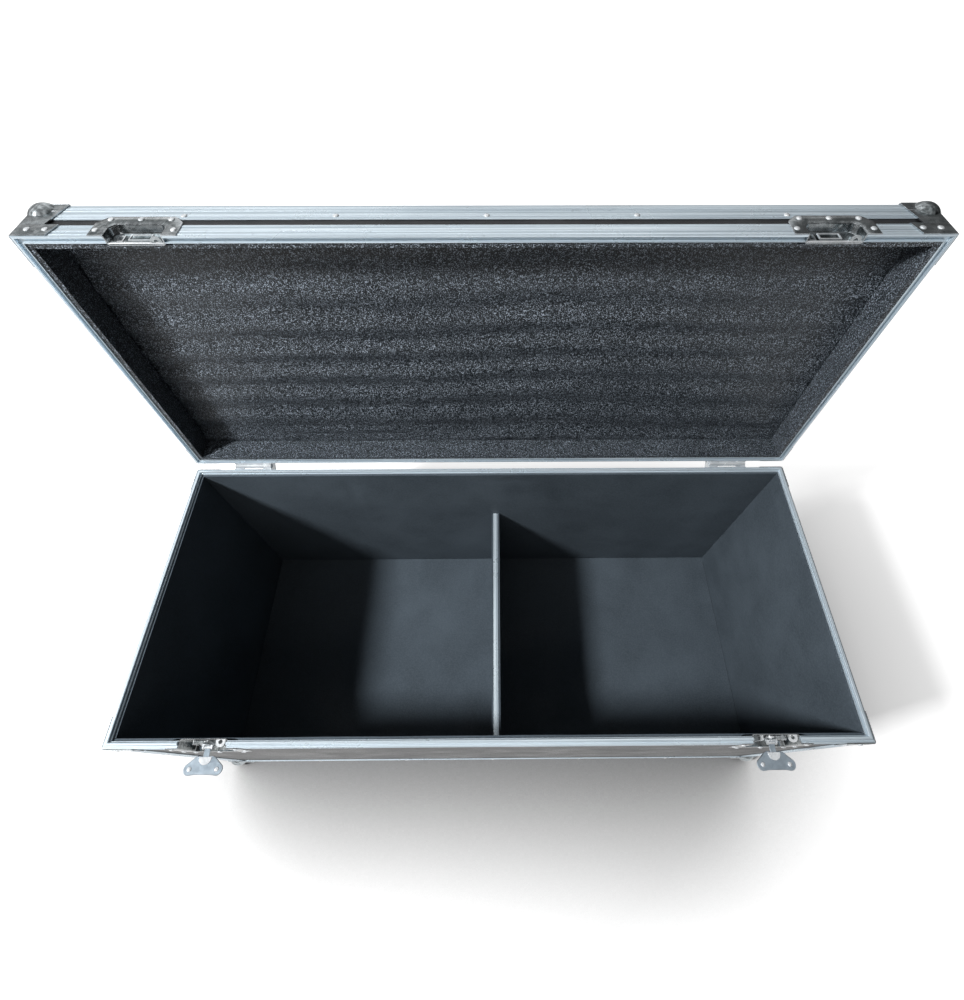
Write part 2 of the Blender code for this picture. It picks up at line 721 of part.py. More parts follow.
def padlock_tab(near, far):
    """Steps that add a level tab with a round eye to a dish, between two heights."""
    middle = (TAB_INNER + TAB_OUTER) / 2
    round_off = (TAB_OUTER - TAB_INNER) / 2
    tip = TAB_FRONT + round_off
    root = DISH_DEPTH + BITE
    plan = [(TAB_INNER, root)] + arc((middle, tip), round_off, 180, 360, SMALL_SIDES // 2)
    plan.append((TAB_OUTER, root))
    tab = built(add_level, plan, local, near, far)
    eye_plan = circle((middle, tip), TAB_HOLE_RADIUS, SMALL_SIDES)
    reach = math.copysign(OVERRUN, far - near)
    eye = built(add_level, eye_plan, local, near - reach, far + reach)
    return [("UNION", tab), ("DIFFERENCE", eye)]


def latch_dish():
    """Dish of a base latch, open at the rim: bearing hole, guides for the hook, padlock tab."""
    half = LATCH_OPENING / 2
    depth = LATCH_OPENING_HEIGHT
    wall = DISH_WALL
    inner = dish_outline(half, OVERRUN, -depth, LATCH_CHAMFER)
    outer = dish_outline(half + wall, -GAP, -depth - wall, LATCH_CHAMFER)
    flange = dish_outline(LATCH_FLANGE_WIDTH / 2, -GAP, -LATCH_FLANGE_HEIGHT, LATCH_FLANGE_CHAMFER)
    bearing = circle((0, -LATCH_AXIS_DROP), STUB_RADIUS + GAP, SMALL_SIDES)
    hole = built(add_slab, bearing, local, DISH_DEPTH - OVERRUN, DISH_BACK + OVERRUN)
    steps = [("DIFFERENCE", hole)] + padlock_tab(-TAB_MARGIN, -TAB_MARGIN - TAB_THICKNESS)
    near = YOKE_HALF_WIDTH + GAP
    for sign in (-1, 1):
        guide = rectangle(sign * near, sign * (near + GUIDE_WALL), YOKE_LOW - HOOK_DROP, YOKE_HIGH)
        guide = [(a, b - LATCH_AXIS_DROP) for a, b in guide]
        steps.append(("UNION", built(add_slab, guide, local, HOOK_FRONT, DISH_DEPTH + BITE)))
    return dish(inner, outer, flange, steps)


def keeper_dish():
    """Dish in the lid, open at the rim, with the keeper bar for the hook and a padlock tab."""
    half = KEEPER_OPENING / 2
    height = KEEPER_OPENING_HEIGHT
    wall = DISH_WALL
    inner = dish_outline(half, -OVERRUN, height, KEEPER_CHAMFER)
    outer = dish_outline(half + wall, GAP, height + wall, KEEPER_CHAMFER)
    flange = dish_outline(LATCH_FLANGE_WIDTH / 2, GAP, KEEPER_FLANGE_HEIGHT, LATCH_FLANGE_CHAMFER)
    bar_outline = rectangle(-half - BITE, half + BITE, KEEPER_BOTTOM, KEEPER_BOTTOM + KEEPER_HEIGHT)
    bar = built(add_slab, bar_outline, local, KEEPER_INWARD, KEEPER_INWARD + KEEPER_PLATE)
    tab = padlock_tab(TAB_MARGIN, TAB_MARGIN + TAB_THICKNESS)
    return dish(inner, outer, flange, [("UNION", bar)] + tab)


def handle_dish():
    """Closed dish round a handle, with a bearing hole in each side wall."""
    half = HANDLE_OPENING / 2
    tall = HANDLE_OPENING_HEIGHT / 2

    def ring(grow):
        top = dish_outline(half + grow, 0, tall + grow, HANDLE_CHAMFER)
        bottom = dish_outline(half + grow, 0, -tall - grow, HANDLE_CHAMFER)
        return top[2:] + bottom[:1:-1]

    bearing = circle((HANDLE_ROD_INWARD, tall - HANDLE_PIVOT_DROP), HANDLE_ROD_RADIUS + GAP, SMALL_SIDES)
    reach = half + DISH_WALL + OVERRUN
    hole = built(add_bar, bearing, local, -reach, reach)
    return dish(ring(0), ring(DISH_WALL), ring(HANDLE_FLANGE_MARGIN), [("DIFFERENCE", hole)])


def make_dishes(pivot):
    """Latch dishes in the front, keeper dishes in the lid and handle dishes in the ends."""
    front = on_side("front")
    for name, sign in HANDS:
        make_node("latch_dish_" + name, latch_dish(), ZINC_PLATE,
                  place_at=(sign * LATCH_X, -CASE_DEPTH / 2, RIM_Z))
        keeper = copied(keeper_dish(), lambda a, b, c: front(a + sign * LATCH_X, b, c + LID_RIM_Z))
        make_lid_node("keeper_dish_" + name, keeper, ZINC_PLATE, pivot)
        handle = make_node("handle_dish_" + name, handle_dish(), ZINC_PLATE,
                           place_at=(sign * CASE_WIDTH / 2, 0, HANDLE_Z))
        handle.rotation_euler = (0, 0, sign * math.pi / 2)


# Latch works.


def rotor():
    """Eccentric cam on its hub and stub, with two lugs in front for the wing's pin."""
    cam = built(add_slab, circle((0, CAM_OFFSET), CAM_RADIUS, ROUND_SIDES), local, CAM_FRONT, CAM_BACK)
    hub = built(add_slab, circle((0, 0), HUB_RADIUS, ROUND_SIDES), local, CAM_BACK - BITE, DISH_DEPTH - GAP)
    stub = built(add_slab, circle((0, 0), STUB_RADIUS, SMALL_SIDES), local,
                 DISH_DEPTH - GAP - BITE, DISH_BACK - GAP)
    nose = arc((WING_PIN_INWARD, 0), LUG_RADIUS, 90, 270, SMALL_SIDES // 2)
    lug = [(CAM_FRONT + BITE, LUG_RADIUS)] + nose + [(CAM_FRONT + BITE, -LUG_RADIUS)]
    inner = KNUCKLE_LENGTH / 2 + GAP
    steps = [("UNION", hub), ("UNION", stub)]
    for sign in (-1, 1):
        steps.append(("UNION", built(add_bar, lug, local, sign * inner, sign * (inner + LUG_WIDTH))))
    bore_outline = circle((WING_PIN_INWARD, 0), WING_PIN_RADIUS + WING_PIN_FIT, SMALL_SIDES)
    reach = inner + LUG_WIDTH + OVERRUN
    steps.append(("DIFFERENCE", built(add_bar, bore_outline, local, -reach, reach)))
    return carved(cam, steps)


def wing_outline():
    """Plan of a wing as (along, outward from the pin): narrow root, two round lobes, a waist."""
    lobe_out = WING_REACH + WING_PIN_INWARD - WING_LOBE_RADIUS
    root = WING_NEAR_WIDTH / 2
    waist_out = WING_REACH + WING_PIN_INWARD - WING_WAIST
    lobe = arc((WING_LOBE_OFFSET, lobe_out), WING_LOBE_RADIUS, -20, 110, SMALL_SIDES // 2)
    right = [(root, WING_NEAR)] + lobe + [(WING_WAIST_WIDTH / 2, waist_out)]
    return right + [(-a, b) for a, b in reversed(right)]


def wing():
    """Folding wing on its knuckle; the plate stands below the pin, clear of the dish's works."""
    top = -WING_PLATE_DROP
    low = top - WING_PLATE
    plan = [(a, -b) for a, b in wing_outline()]
    half = KNUCKLE_LENGTH / 2
    plate = built(add_level, plan, local, low, top)
    neck = built(add_level, rectangle(-half, half, -WING_NEAR - BITE, 0), local, low, top)
    knuckle = built(add_bar, circle((0, 0), KNUCKLE_RADIUS, ROUND_SIDES), local, -half, half)
    bore_outline = circle((0, 0), WING_PIN_RADIUS + WING_PIN_FIT, SMALL_SIDES)
    bore = built(add_bar, bore_outline, local, -half - OVERRUN, half + OVERRUN)
    return carved(plate, [("UNION", neck), ("UNION", knuckle), ("DIFFERENCE", bore)])


def hook():
    """Yoke plate round the cam, with a tongue whose tip is bent inward over the keeper."""
    side = YOKE_HALF_WIDTH - HOOK_FRAME
    window = rectangle(-side, side, YOKE_LOW + HOOK_FRAME, YOKE_HIGH - HOOK_FRAME)
    outer = YOKE_HALF_WIDTH
    tongue = HOOK_TONGUE_WIDTH / 2
    tip_top = HOOK_TIP_UNDER + HOOK_PLATE
    plan = [(-outer, YOKE_LOW), (outer, YOKE_LOW), (outer, YOKE_HIGH), (tongue, YOKE_HIGH),
            (tongue, tip_top), (-tongue, tip_top), (-tongue, YOKE_HIGH), (-outer, YOKE_HIGH)]
    back = HOOK_FRONT + HOOK_PLATE
    body = built(add_slab, plan, local, HOOK_FRONT, back)
    tip_plan = rectangle(-tongue, tongue, HOOK_TIP_UNDER, tip_top)
    tip = built(add_slab, tip_plan, local, HOOK_FRONT + BITE, HOOK_TIP_END)
    space = built(add_slab, window, local, HOOK_FRONT - OVERRUN, back + OVERRUN)
    return carved(body, [("UNION", tip), ("DIFFERENCE", space)])


def make_latch_works():
    """Moving pieces of both latches, undone, with their wings straight out."""
    for name, sign in HANDS:
        axis = (sign * LATCH_X, -CASE_DEPTH / 2, LATCH_Z)
        pin_axis = (axis[0], axis[1] + WING_PIN_INWARD, axis[2])
        make_node("latch_rotor_" + name, rotor(), ZINC_PLATE, place_at=axis, smooth=True)
        make_node("latch_hook_" + name, hook(), ZINC_PLATE, place_at=axis)
        make_node("latch_wing_" + name, wing(), ZINC_PLATE, place_at=pin_axis, smooth=True)
        half = KNUCKLE_LENGTH / 2 + GAP + LUG_WIDTH
        pin = built(add_bar, circle((0, 0), WING_PIN_RADIUS, SMALL_SIDES), local, -half, half)
        make_node("wing_pin_" + name, pin, STEEL, place_at=pin_axis, smooth=True)


# Hinges.


def hinge_leaf(spans):
    """Leaf, knuckles and stop cheeks as (along, outward, away from the hinge line)."""
    half = HINGE_WIDTH / 2
    centre = HINGE_AXIS_OUT
    radius = HINGE_BARREL_RADIUS
    leaf_far = GAP + HINGE_LEAF
    leaf_root = GAP + HINGE_LEAF / 2
    plate = rectangle(-half, half, HINGE_LEAF_MARGIN, HINGE_LEAF_HEIGHT)
    body = built(add_slab, plate, local, GAP, leaf_far)
    web_near = radius - HINGE_WEB
    start = 180 - math.degrees(math.asin(web_near / radius))
    wrap = arc((centre, 0), radius, start, 450, ROUND_SIDES)
    knuckle = [(leaf_root, web_near)] + wrap + [(leaf_root, radius)]
    steps = [("UNION", built(add_bar, knuckle, local, *span)) for span in spans]
    wedge = (math.pi - LID_OPEN_ANGLE) / 2
    along = Vector((math.sin(wedge), math.cos(wedge)))
    off = Vector((-math.cos(wedge), math.sin(wedge))) * GAP / 2
    axis = Vector((centre, 0))
    stop = [(leaf_root, STOP_LEAF_TOP), tuple(axis + along * STOP_INNER + off),
            tuple(axis + along * STOP_OUTER + off), (leaf_root, STOP_LEAF_BOTTOM)]
    for sign in (-1, 1):
        cheek = built(add_bar, stop, local, sign * (half - HINGE_FLANGE), sign * half)
        steps.append(("UNION", cheek))
    bore = circle((centre, 0), HINGE_PIN_RADIUS + HINGE_PIN_FIT, SMALL_SIDES)
    steps.append(("DIFFERENCE", built(add_bar, bore, local, -half - OVERRUN, half + OVERRUN)))
    return carved(body, steps)


def make_hinges(pivot):
    """Two stop hinges: base leaves, lid leaves and their pins."""
    place = on_side("back")
    middle = HINGE_MIDDLE_LENGTH / 2
    end = HINGE_WIDTH / 2 - HINGE_FLANGE - GAP
    for name, sign in HANDS:
        centre = -sign * HINGE_X
        base_leaf = hinge_leaf([(-end, -middle - GAP), (middle + GAP, end)])
        base_leaf = copied(base_leaf, lambda a, b, c: place(a + centre, -b, HINGE_Z - c))
        make_node("hinge_base_leaf_" + name, base_leaf, ZINC_PLATE, smooth=True)
        lid_leaf = copied(hinge_leaf([(-middle, middle)]),
                          lambda a, b, c: place(a + centre, -b, HINGE_Z + c))
        make_lid_node("hinge_lid_leaf_" + name, lid_leaf, ZINC_PLATE, pivot, smooth=True)
        outline = circle((-HINGE_AXIS_OUT, HINGE_Z), HINGE_PIN_RADIUS, SMALL_SIDES)
        pin = built(add_bar, outline, place, centre - end, centre + end)
        make_node("hinge_pin_" + name, pin, STEEL, smooth=True)


# Handles.


def bail_path():
    """Centre line of a bail as (along, up from the pivot): stub, leg, grip, leg, stub."""
    leg = HANDLE_LEG_OFFSET
    bend = HANDLE_STUB_BEND
    corner = HANDLE_CORNER_RADIUS
    low = -HANDLE_LEG_LENGTH
    end = HANDLE_OPENING / 2 + DISH_WALL - GAP
    half = [(end, 0)] + arc((leg + bend, -bend), bend, 90, 180, SMALL_SIDES // 3)
    half += arc((leg - corner, low + corner), corner, 0, -90, SMALL_SIDES // 3)
    return half + [(-a, b) for a, b in reversed(half)]


def bail():
    """Round rod along the centre line, in the wall's own axes."""
    path = [Vector(point) for point in bail_path()]
    rings = []
    for index, point in enumerate(path):
        before = path[max(index - 1, 0)]
        after = path[min(index + 1, len(path) - 1)]
        forward = (point - before).normalized() + (after - point).normalized()
        forward.normalize()
        normal = Vector((-forward.y, forward.x))
        inside = 0 < index < len(path) - 1
        stretch = 1 / forward.dot((after - point).normalized()) if inside else 1
        ring = []
        for step in range(SMALL_SIDES):
            angle = 2 * math.pi * step / SMALL_SIDES
            side = point + normal * HANDLE_ROD_RADIUS * stretch * math.cos(angle)
            ring.append((side.x, HANDLE_ROD_RADIUS * math.sin(angle), side.y))
        rings.append(ring)
    return built(add_rings, rings)


def sleeve():
    """Rubber tube round the bail's grip."""
    half = HANDLE_SLEEVE_LENGTH / 2
    rings = []
    for radius, along in ((HANDLE_SLEEVE_RADIUS, -half), (HANDLE_SLEEVE_RADIUS, half),
                          (HANDLE_ROD_RADIUS + GAP, half), (HANDLE_ROD_RADIUS + GAP, -half)):
        rings.append([(along, a, b) for a, b in circle((0, -HANDLE_LEG_LENGTH), radius, ROUND_SIDES)])
    return built(add_rings, rings, closed=True)


def make_handles():
    """Sprung bails with their sleeves, folded into the dishes of the two ends."""
    for name, sign in HANDS:
        axis = (sign * (CASE_WIDTH / 2 - HANDLE_ROD_INWARD), 0, HANDLE_PIVOT_Z)
        rod = make_node("handle_bail_" + name, bail(), STEEL, place_at=axis, smooth=True)
        grip = make_node("handle_sleeve_" + name, sleeve(), RUBBER, place_at=axis, smooth=True)
        rod.rotation_euler = (0, 0, sign * math.pi / 2)
        grip.rotation_euler = (0, 0, sign * math.pi / 2)


def main():
    """Build the case."""
    clear_scene()
    pivot = lid_pivot()
    make_base_boards()
    make_base_extrusions()
    make_base_corners()
    make_linings()
    make_divider()
    make_lid_boards(pivot)
    make_lid_extrusions(pivot)
    make_lid_foam(pivot)
    make_dishes(pivot)
    make_latch_works()
    make_hinges(pivot)
    make_handles()


main()
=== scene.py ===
import math

import bmesh
import bpy
import numpy as np
from mathutils import Matrix, Vector

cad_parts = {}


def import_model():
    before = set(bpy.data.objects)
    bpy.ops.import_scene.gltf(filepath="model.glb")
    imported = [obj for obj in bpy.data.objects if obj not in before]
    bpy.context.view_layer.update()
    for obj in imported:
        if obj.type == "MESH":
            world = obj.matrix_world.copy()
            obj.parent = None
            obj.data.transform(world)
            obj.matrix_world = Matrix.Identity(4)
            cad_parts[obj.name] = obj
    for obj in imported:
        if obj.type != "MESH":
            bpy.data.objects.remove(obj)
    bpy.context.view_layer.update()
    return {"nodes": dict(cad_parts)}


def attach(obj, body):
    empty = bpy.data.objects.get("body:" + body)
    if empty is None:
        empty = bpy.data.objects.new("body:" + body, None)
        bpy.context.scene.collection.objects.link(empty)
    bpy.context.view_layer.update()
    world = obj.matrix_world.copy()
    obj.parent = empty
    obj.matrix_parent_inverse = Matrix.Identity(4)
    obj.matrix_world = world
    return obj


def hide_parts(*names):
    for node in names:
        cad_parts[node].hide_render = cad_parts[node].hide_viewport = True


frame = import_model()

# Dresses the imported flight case: edge extrusions, pressed corners and dishes, rivets, foam,
# wings and grips, then its finishes, the floor, the lamps and the camera.
# A place is a function of (along, inward, up) on a wall, as in the solids; lengths are metres.

# Sizes shared with the solids.
WIDTH, DEPTH = 1.200, 0.502
BOTTOM_Z, RIM_Z, LID_RIM_Z, LID_TOP_Z = -0.0018, 0.4832, 0.4835, 0.5545
GAP, BOARD = 0.0003, 0.007
WALL, CORE, LEG, RIM_LEG = 0.0015, 0.0106, 0.033, 0.025
TAIL, BASE_TAIL, LID_TAIL = 0.0074, 0.010, 0.012
BOARD_EDGE, LINING_FACE, FLOOR_TOP_Z = 0.0109, 0.0149, 0.0201
HINGE_Y, HINGE_Z = 0.2599, 0.48335
LATCH_X, LATCH_Z, RIM_NOTCH, HINGE_X = 0.447, 0.4632, 0.0375, 0.488
HANDLE_Z, HANDLE_PIVOT_Z, ROD_INSET = 0.2982, 0.3342, 0.006
DIVIDER_X, DIVIDER_TOP = 0.0085, 0.3052
BALL_INSET, BALL_RADIUS = 0.0125, 0.0215
DISH_DEPTH, DISH_BACK, PROUD, PLATE = 0.012, 0.0132, 0.0015, 0.0016
FITTING_BACK = DISH_DEPTH + GAP
PIN_INSET, HEAD_RADIUS, HEAD_RISE, ON_PLATE = 0.0023, 0.0042, 0.0018, -GAP - PLATE
OPEN = math.radians(93.1)
UNDER = (0, 0, -1)
SIDES, LONG = ("front", "right", "back", "left"), ("front", "back")
CORNERS = ("front_left", "front_right", "back_right", "back_left")
HANDS = (("left", -1), ("right", 1))


# Shells: (points, faces, UV of each face corner).


def distances(points, axis, wrap):
    """Running length along one index of a table: the sum of |next - this|, averaged over the other index."""
    steps = np.linalg.norm(np.roll(points, -1, axis) - points, axis=2).mean(axis=1 - axis)
    return np.concatenate([[0], np.cumsum(steps if wrap else steps[:-1])])


def grid(points, wrap_rows=False, wrap_columns=False):
    """Quads between neighbours of a table of points; UV is the running length along both indices."""
    rows, columns = points.shape[:2]
    down, across = distances(points, 0, wrap_rows), distances(points, 1, wrap_columns)
    i, j = np.indices((len(down) - 1, len(across) - 1)).reshape(2, -1)
    this, below, beside = i * columns, (i + 1) % rows * columns, (j + 1) % columns
    faces = np.stack([this + j, below + j, below + beside, this + beside], 1)
    uv = np.stack([down[i], across[j], down[i + 1], across[j], down[i + 1], across[j + 1],
                   down[i], across[j + 1]], 1)
    return points.reshape(-1, 3), faces.tolist(), uv.reshape(-1, 2)


def turned_out(shell):
    """Shell whose faces point outward: turned over where a . (b x c) adds up below 0 over its triangles."""
    points, faces, uv = shell
    counts = np.array([len(face) for face in faces])
    flat = np.concatenate(faces)
    start = np.repeat(np.cumsum(counts) - counts, counts)
    end = start + np.repeat(counts, counts) - 1
    loop = np.arange(len(flat))
    inner = loop[(loop > start) & (loop < end)]
    about = points - points.mean(0)
    a, b, c = about[flat[start[inner]]], about[flat[inner]], about[flat[inner + 1]]
    if (a * np.cross(b, c)).sum() >= 0:
        return shell
    return points, [face[::-1] for face in faces], uv[start + end - loop]


def loft(rings, close=False, caps=(True, True)):
    """Skin through closed rings in order; each open end may be capped by the face of its ring."""
    points, faces, uv = grid(rings, wrap_rows=close, wrap_columns=True)
    count = rings.shape[1]
    first = np.arange(count)
    ends = [first, (len(rings) - 1) * count + first[::-1]]
    for end, capped in zip(ends, caps):
        if capped and not close:
            faces.append(end.tolist())
            uv = np.concatenate([uv, np.zeros((count, 2))])
    return turned_out((points, faces, uv))


def between(near, far):
    """Block between two tables of points: both as sheets, joined by quads round their border."""
    rows, columns = near.shape[:2]
    table = np.arange(rows * columns).reshape(rows, columns)
    border = np.concatenate([table[0, :-1], table[:-1, -1], table[-1, :0:-1], table[:0:-1, 0]])
    after = np.roll(border, -1)
    points, faces, uv = grid(near)
    back = (np.array(faces)[:, ::-1] + rows * columns).tolist()
    back_uv = uv.reshape(-1, 4, 2)[:, ::-1].reshape(-1, 2)
    sides = np.stack([border, border + rows * columns, after + rows * columns, after], 1)
    sides = sides[:, ::-1].tolist()
    shell = (np.concatenate([points, far.reshape(-1, 3)]), faces + back + sides,
             np.concatenate([uv, back_uv, np.zeros((len(sides) * 4, 2))]))
    return turned_out(shell)


def layered(levels, put):
    """Table of points from outlines (a, b), each at its own level."""
    return np.stack([put(outline[:, 0], outline[:, 1], level) for outline, level in levels])


def joined(shells):
    """Several shells as one."""
    points, faces, uv, offset = [], [], [], 0
    for shell in shells:
        points.append(shell[0])
        faces += [[index + offset for index in face] for face in shell[1]]
        uv.append(shell[2])
        offset += len(shell[0])
    return np.concatenate(points), faces, np.concatenate(uv)


def placed(name, data):
    """New object in the scene."""
    item = bpy.data.objects.new(name, data)
    bpy.context.scene.collection.objects.link(item)
    return item


def make_piece(name, shells, finish, body, nodes=(), smooth=38):
    """Object of one piece: doubled points are merged, edges sharper than the angle stay crisp."""
    points, faces, uv = joined(shells)
    mesh = bpy.data.meshes.new(name)
    mesh.from_pydata(points.tolist(), [], faces)
    mesh.uv_layers.new(name="length").data.foreach_set("uv", uv.ravel())
    merge = bmesh.new()
    merge.from_mesh(mesh)
    bmesh.ops.remove_doubles(merge, verts=merge.verts, dist=0.000001)
    merge.to_mesh(mesh)
    merge.free()
    mesh.shade_smooth()
    mesh.set_sharp_from_angle(angle=math.radians(smooth))
    material, slot = finish
    mesh.materials.append(material)
    item = placed(name, mesh)
    if nodes:
        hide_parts(*nodes)
    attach(item, body)
    return item


# Outlines.


def rectangle(low_a, high_a, low_b, high_b):
    """Outline of a rectangle."""
    return np.array([(low_a, low_b), (high_a, low_b), (high_a, high_b), (low_a, high_b)])


def rounded(outline, radius, steps=3, closed=True):
    """Outline with corners (1-t)^2 a + 2t(1-t) corner + t^2 b, where a and b are set back along the edges."""
    points = np.asarray(outline, float)
    before, after = np.roll(points, 1, 0) - points, np.roll(points, -1, 0) - points
    before_length = np.linalg.norm(before, axis=1, keepdims=True)
    after_length = np.linalg.norm(after, axis=1, keepdims=True)
    a = points + before / before_length * np.minimum(radius, 0.45 * before_length)
    b = points + after / after_length * np.minimum(radius, 0.45 * after_length)
    t = np.linspace(0, 1, steps + 1)[None, :, None]
    curve = (1 - t) ** 2 * a[:, None] + 2 * t * (1 - t) * points[:, None] + t * t * b[:, None]
    if closed:
        return curve.reshape(-1, 2)
    return np.concatenate([points[:1], curve[1:-1].reshape(-1, 2), points[-1:]])


def drawn_in(outline, distance):
    """Closed outline moved in: each point by the sum of its two inner normals over 1 + their dot product."""
    after = np.roll(outline, -1, 0)
    edge = after - outline
    edge /= np.linalg.norm(edge, axis=1, keepdims=True)
    area = (outline[:, 0] * after[:, 1] - outline[:, 1] * after[:, 0]).sum()
    normal = np.stack([-edge[:, 1], edge[:, 0]], 1) * (1 if area > 0 else -1)
    before = np.roll(normal, 1, 0)
    share = 1 + (normal * before).sum(1, keepdims=True)
    return outline + (normal + before) / np.maximum(share, 0.3) * distance


def ribbed(start, end, ribs, rise):
    """Points of a straight face with low ribs: over each span the face stands out by the rise."""
    start, end = np.array(start), np.array(end)
    length = np.hypot(*(end - start))
    along = (end - start) / length
    out = np.array([along[1], -along[0]]) * rise
    spans = np.array(ribs)
    places = np.concatenate([[0], np.repeat(spans.ravel(), 2)])
    lift = np.concatenate([[0], np.tile([0, 1, 1, 0], len(ribs))])
    return (start + places[:, None] * along + lift[:, None] * out).tolist()


def circle(count):
    """Cosines and sines of even angles round a full turn."""
    angle = np.linspace(0, 2 * math.pi, count + 1)[:-1]
    return np.cos(angle), np.sin(angle)


def arc(centre, radius, start, end, steps):
    """Points centre + radius (cos, sin) between two angles in degrees."""
    angle = np.radians(np.linspace(start, end, steps + 1))
    return np.stack([centre[0] + radius * np.cos(angle), centre[1] + radius * np.sin(angle)], 1)


# Places.


def half_length(side):
    """Half the outer length of a wall."""
    return (WIDTH if side in LONG else DEPTH) / 2


def wall(side):
    """Place on a wall of the base: (along, inward - reach, up) turned a quarter for each side."""
    quarter = SIDES.index(side)
    c, s = ((1, 0), (0, 1), (-1, 0), (0, -1))[quarter]
    reach = (DEPTH if side in LONG else WIDTH) / 2

    def place(along, inward, up):
        x, y, z = np.broadcast_arrays(np.asarray(along, float), np.asarray(inward, float) - reach,
                                      np.asarray(up, float))
        return np.stack([c * x - s * y, s * x + c * y, z], -1)
    return place


def opened(place):
    """The same place carried by the open lid: y cos + z sin and z cos - y sin about the hinge line."""
    def carried(along, inward, up):
        points = place(along, inward, up)
        y, z = points[..., 1] - HINGE_Y, points[..., 2] - HINGE_Z
        c, s = math.cos(OPEN), math.sin(OPEN)
        return np.stack([points[..., 0], HINGE_Y + y * c + z * s, HINGE_Z + z * c - y * s], -1)
    return carried


def kept(place):
    """A place of the base, as it is."""
    return place


def straight(x, y, z):
    """Place in the frame's own axes."""
    return np.stack(np.broadcast_arrays(x, y, z), -1).astype(float)


def corner(side, carry=kept):
    """Place at the left end of a wall: distances in from its two faces, and up."""
    place, half = carry(wall(side)), half_length(side)
    return lambda beside, inward, up: place(beside - half, inward, up)


def facing(place):
    """Place for an outline drawn on a wall's face: (along, up, inward)."""
    return lambda a, b, level: place(a, level, b)


def mirrored(place, edge_z, up):
    """Place measured from an edge of the box: up counts into the box."""
    return lambda a, b, c: place(a, b, edge_z + up * c)


# Shapes.


def plate(outline, near, far, edge, put):
    """Plate with soft edges: its outline is drawn in by the edge at both faces, and whole between them."""
    small = drawn_in(outline, edge)
    step = math.copysign(edge, far - near)
    return loft(layered(((small, near), (outline, near + step), (outline, far - step), (small, far)), put))


def eyed(plan, centre, radius, near, far, put):
    """Plate with a round eye: rays from the eye's centre meet both its circle and the plan's edge."""
    ray = np.stack(circle(32), 1)
    start = np.asarray(plan, float) - centre
    edge = np.roll(start, -1, 0) - start
    cross = ray[:, None, 0] * edge[None, :, 1] - ray[:, None, 1] * edge[None, :, 0]
    cross = np.where(np.abs(cross) < 1e-12, 1e-12, cross)
    reach = (start[None, :, 0] * edge[None, :, 1] - start[None, :, 1] * edge[None, :, 0]) / cross
    share = (start[None, :, 0] * ray[:, None, 1] - start[None, :, 1] * ray[:, None, 0]) / cross
    reach = np.where((share >= -1e-6) & (share <= 1 + 1e-6) & (reach > 0), reach, np.inf).min(1)
    outer, inner = centre + ray * reach[:, None], centre + ray * radius
    return loft(layered(((outer, near), (outer, far), (inner, far), (inner, near)), put), close=True)


def framed(x, z, half, tall, wide, near, far, put):
    """Pressed rectangular ring about a point."""
    outer = rectangle(x - half, x + half, z - tall, z + tall)
    inner = rectangle(x - half + wide, x + half - wide, z - tall + wide, z + tall - wide)
    return loft(layered(((outer, far), (outer, near), (inner, near), (inner, far)), put), close=True)


def domes(places, normals, radius, height, rows=4, columns=12):
    """Round heads: points at radius cos(t) from each axis and height sin(t) above its foot."""
    places, normals = np.asarray(places, float), np.asarray(normals, float)
    helper = np.where(np.abs(normals[:, 2:]) > 0.7, [[1.0, 0, 0]], [[0, 0, 1.0]])
    across = np.cross(helper, normals)
    across /= np.linalg.norm(across, axis=1, keepdims=True)
    beside = np.cross(normals, across)
    t = np.linspace(0, math.pi / 2, rows + 1)[:-1]
    cos, sin = (a[:, None] for a in circle(columns))
    lift = np.concatenate([[-0.0006], height * np.sin(t)])
    out = np.concatenate([[radius], radius * np.cos(t)])
    shells = []
    for p, n, a, b in zip(places, normals, across, beside):
        shells.append(loft(p + out[:, None, None] * (cos * a + sin * b) + lift[:, None, None] * n))
    return shells


# Sections.


def double_angle():
    """Edge extrusion: two ribbed outer legs, core and two inner tails, with soft corners."""
    inner, tail = CORE - WALL, CORE + TAIL
    ribs = ((0.0075, 0.0089), (0.0125, 0.0139), (0.0235, 0.0249), (0.0285, 0.0299))
    back = tuple((LEG - high, LEG - low) for low, high in reversed(ribs))
    points = ribbed((0, 0), (LEG, 0), ribs, 0.0004)
    points += [(LEG, 0), (LEG, WALL), (CORE, WALL), (CORE, inner), (tail, inner), (tail, CORE), (CORE, CORE),
               (CORE, tail), (inner, tail), (inner, CORE), (WALL, CORE), (WALL, LEG)]
    points += ribbed((0, LEG), (0, 0), back, 0.0004)
    return rounded(points, 0.0007, 2)


def base_rim():
    """Base rim extrusion below the rim: ribbed outer leg, web with its tongue, inner tail."""
    ribs = ((0.004, 0.0054), (0.0098, 0.0112), (0.0205, 0.0219))
    points = ribbed((0, 0), (0, -RIM_LEG), ribs, 0.0004)
    points += [(0, -RIM_LEG), (WALL, -RIM_LEG), (WALL, -WALL), (CORE - WALL, -WALL),
               (CORE - WALL, -BASE_TAIL), (CORE, -BASE_TAIL), (CORE, 0), (0.0096, 0.00025), (0.0090, 0),
               (0.0088, 0.0036), (0.0080, 0.0045), (0.0045, 0.0045), (0.0037, 0.0036), (0.0037, 0),
               (0.0024, 0), (0.0018, 0.00025), (0.0010, 0.00025)]
    return rounded(points, 0.0005, 2)


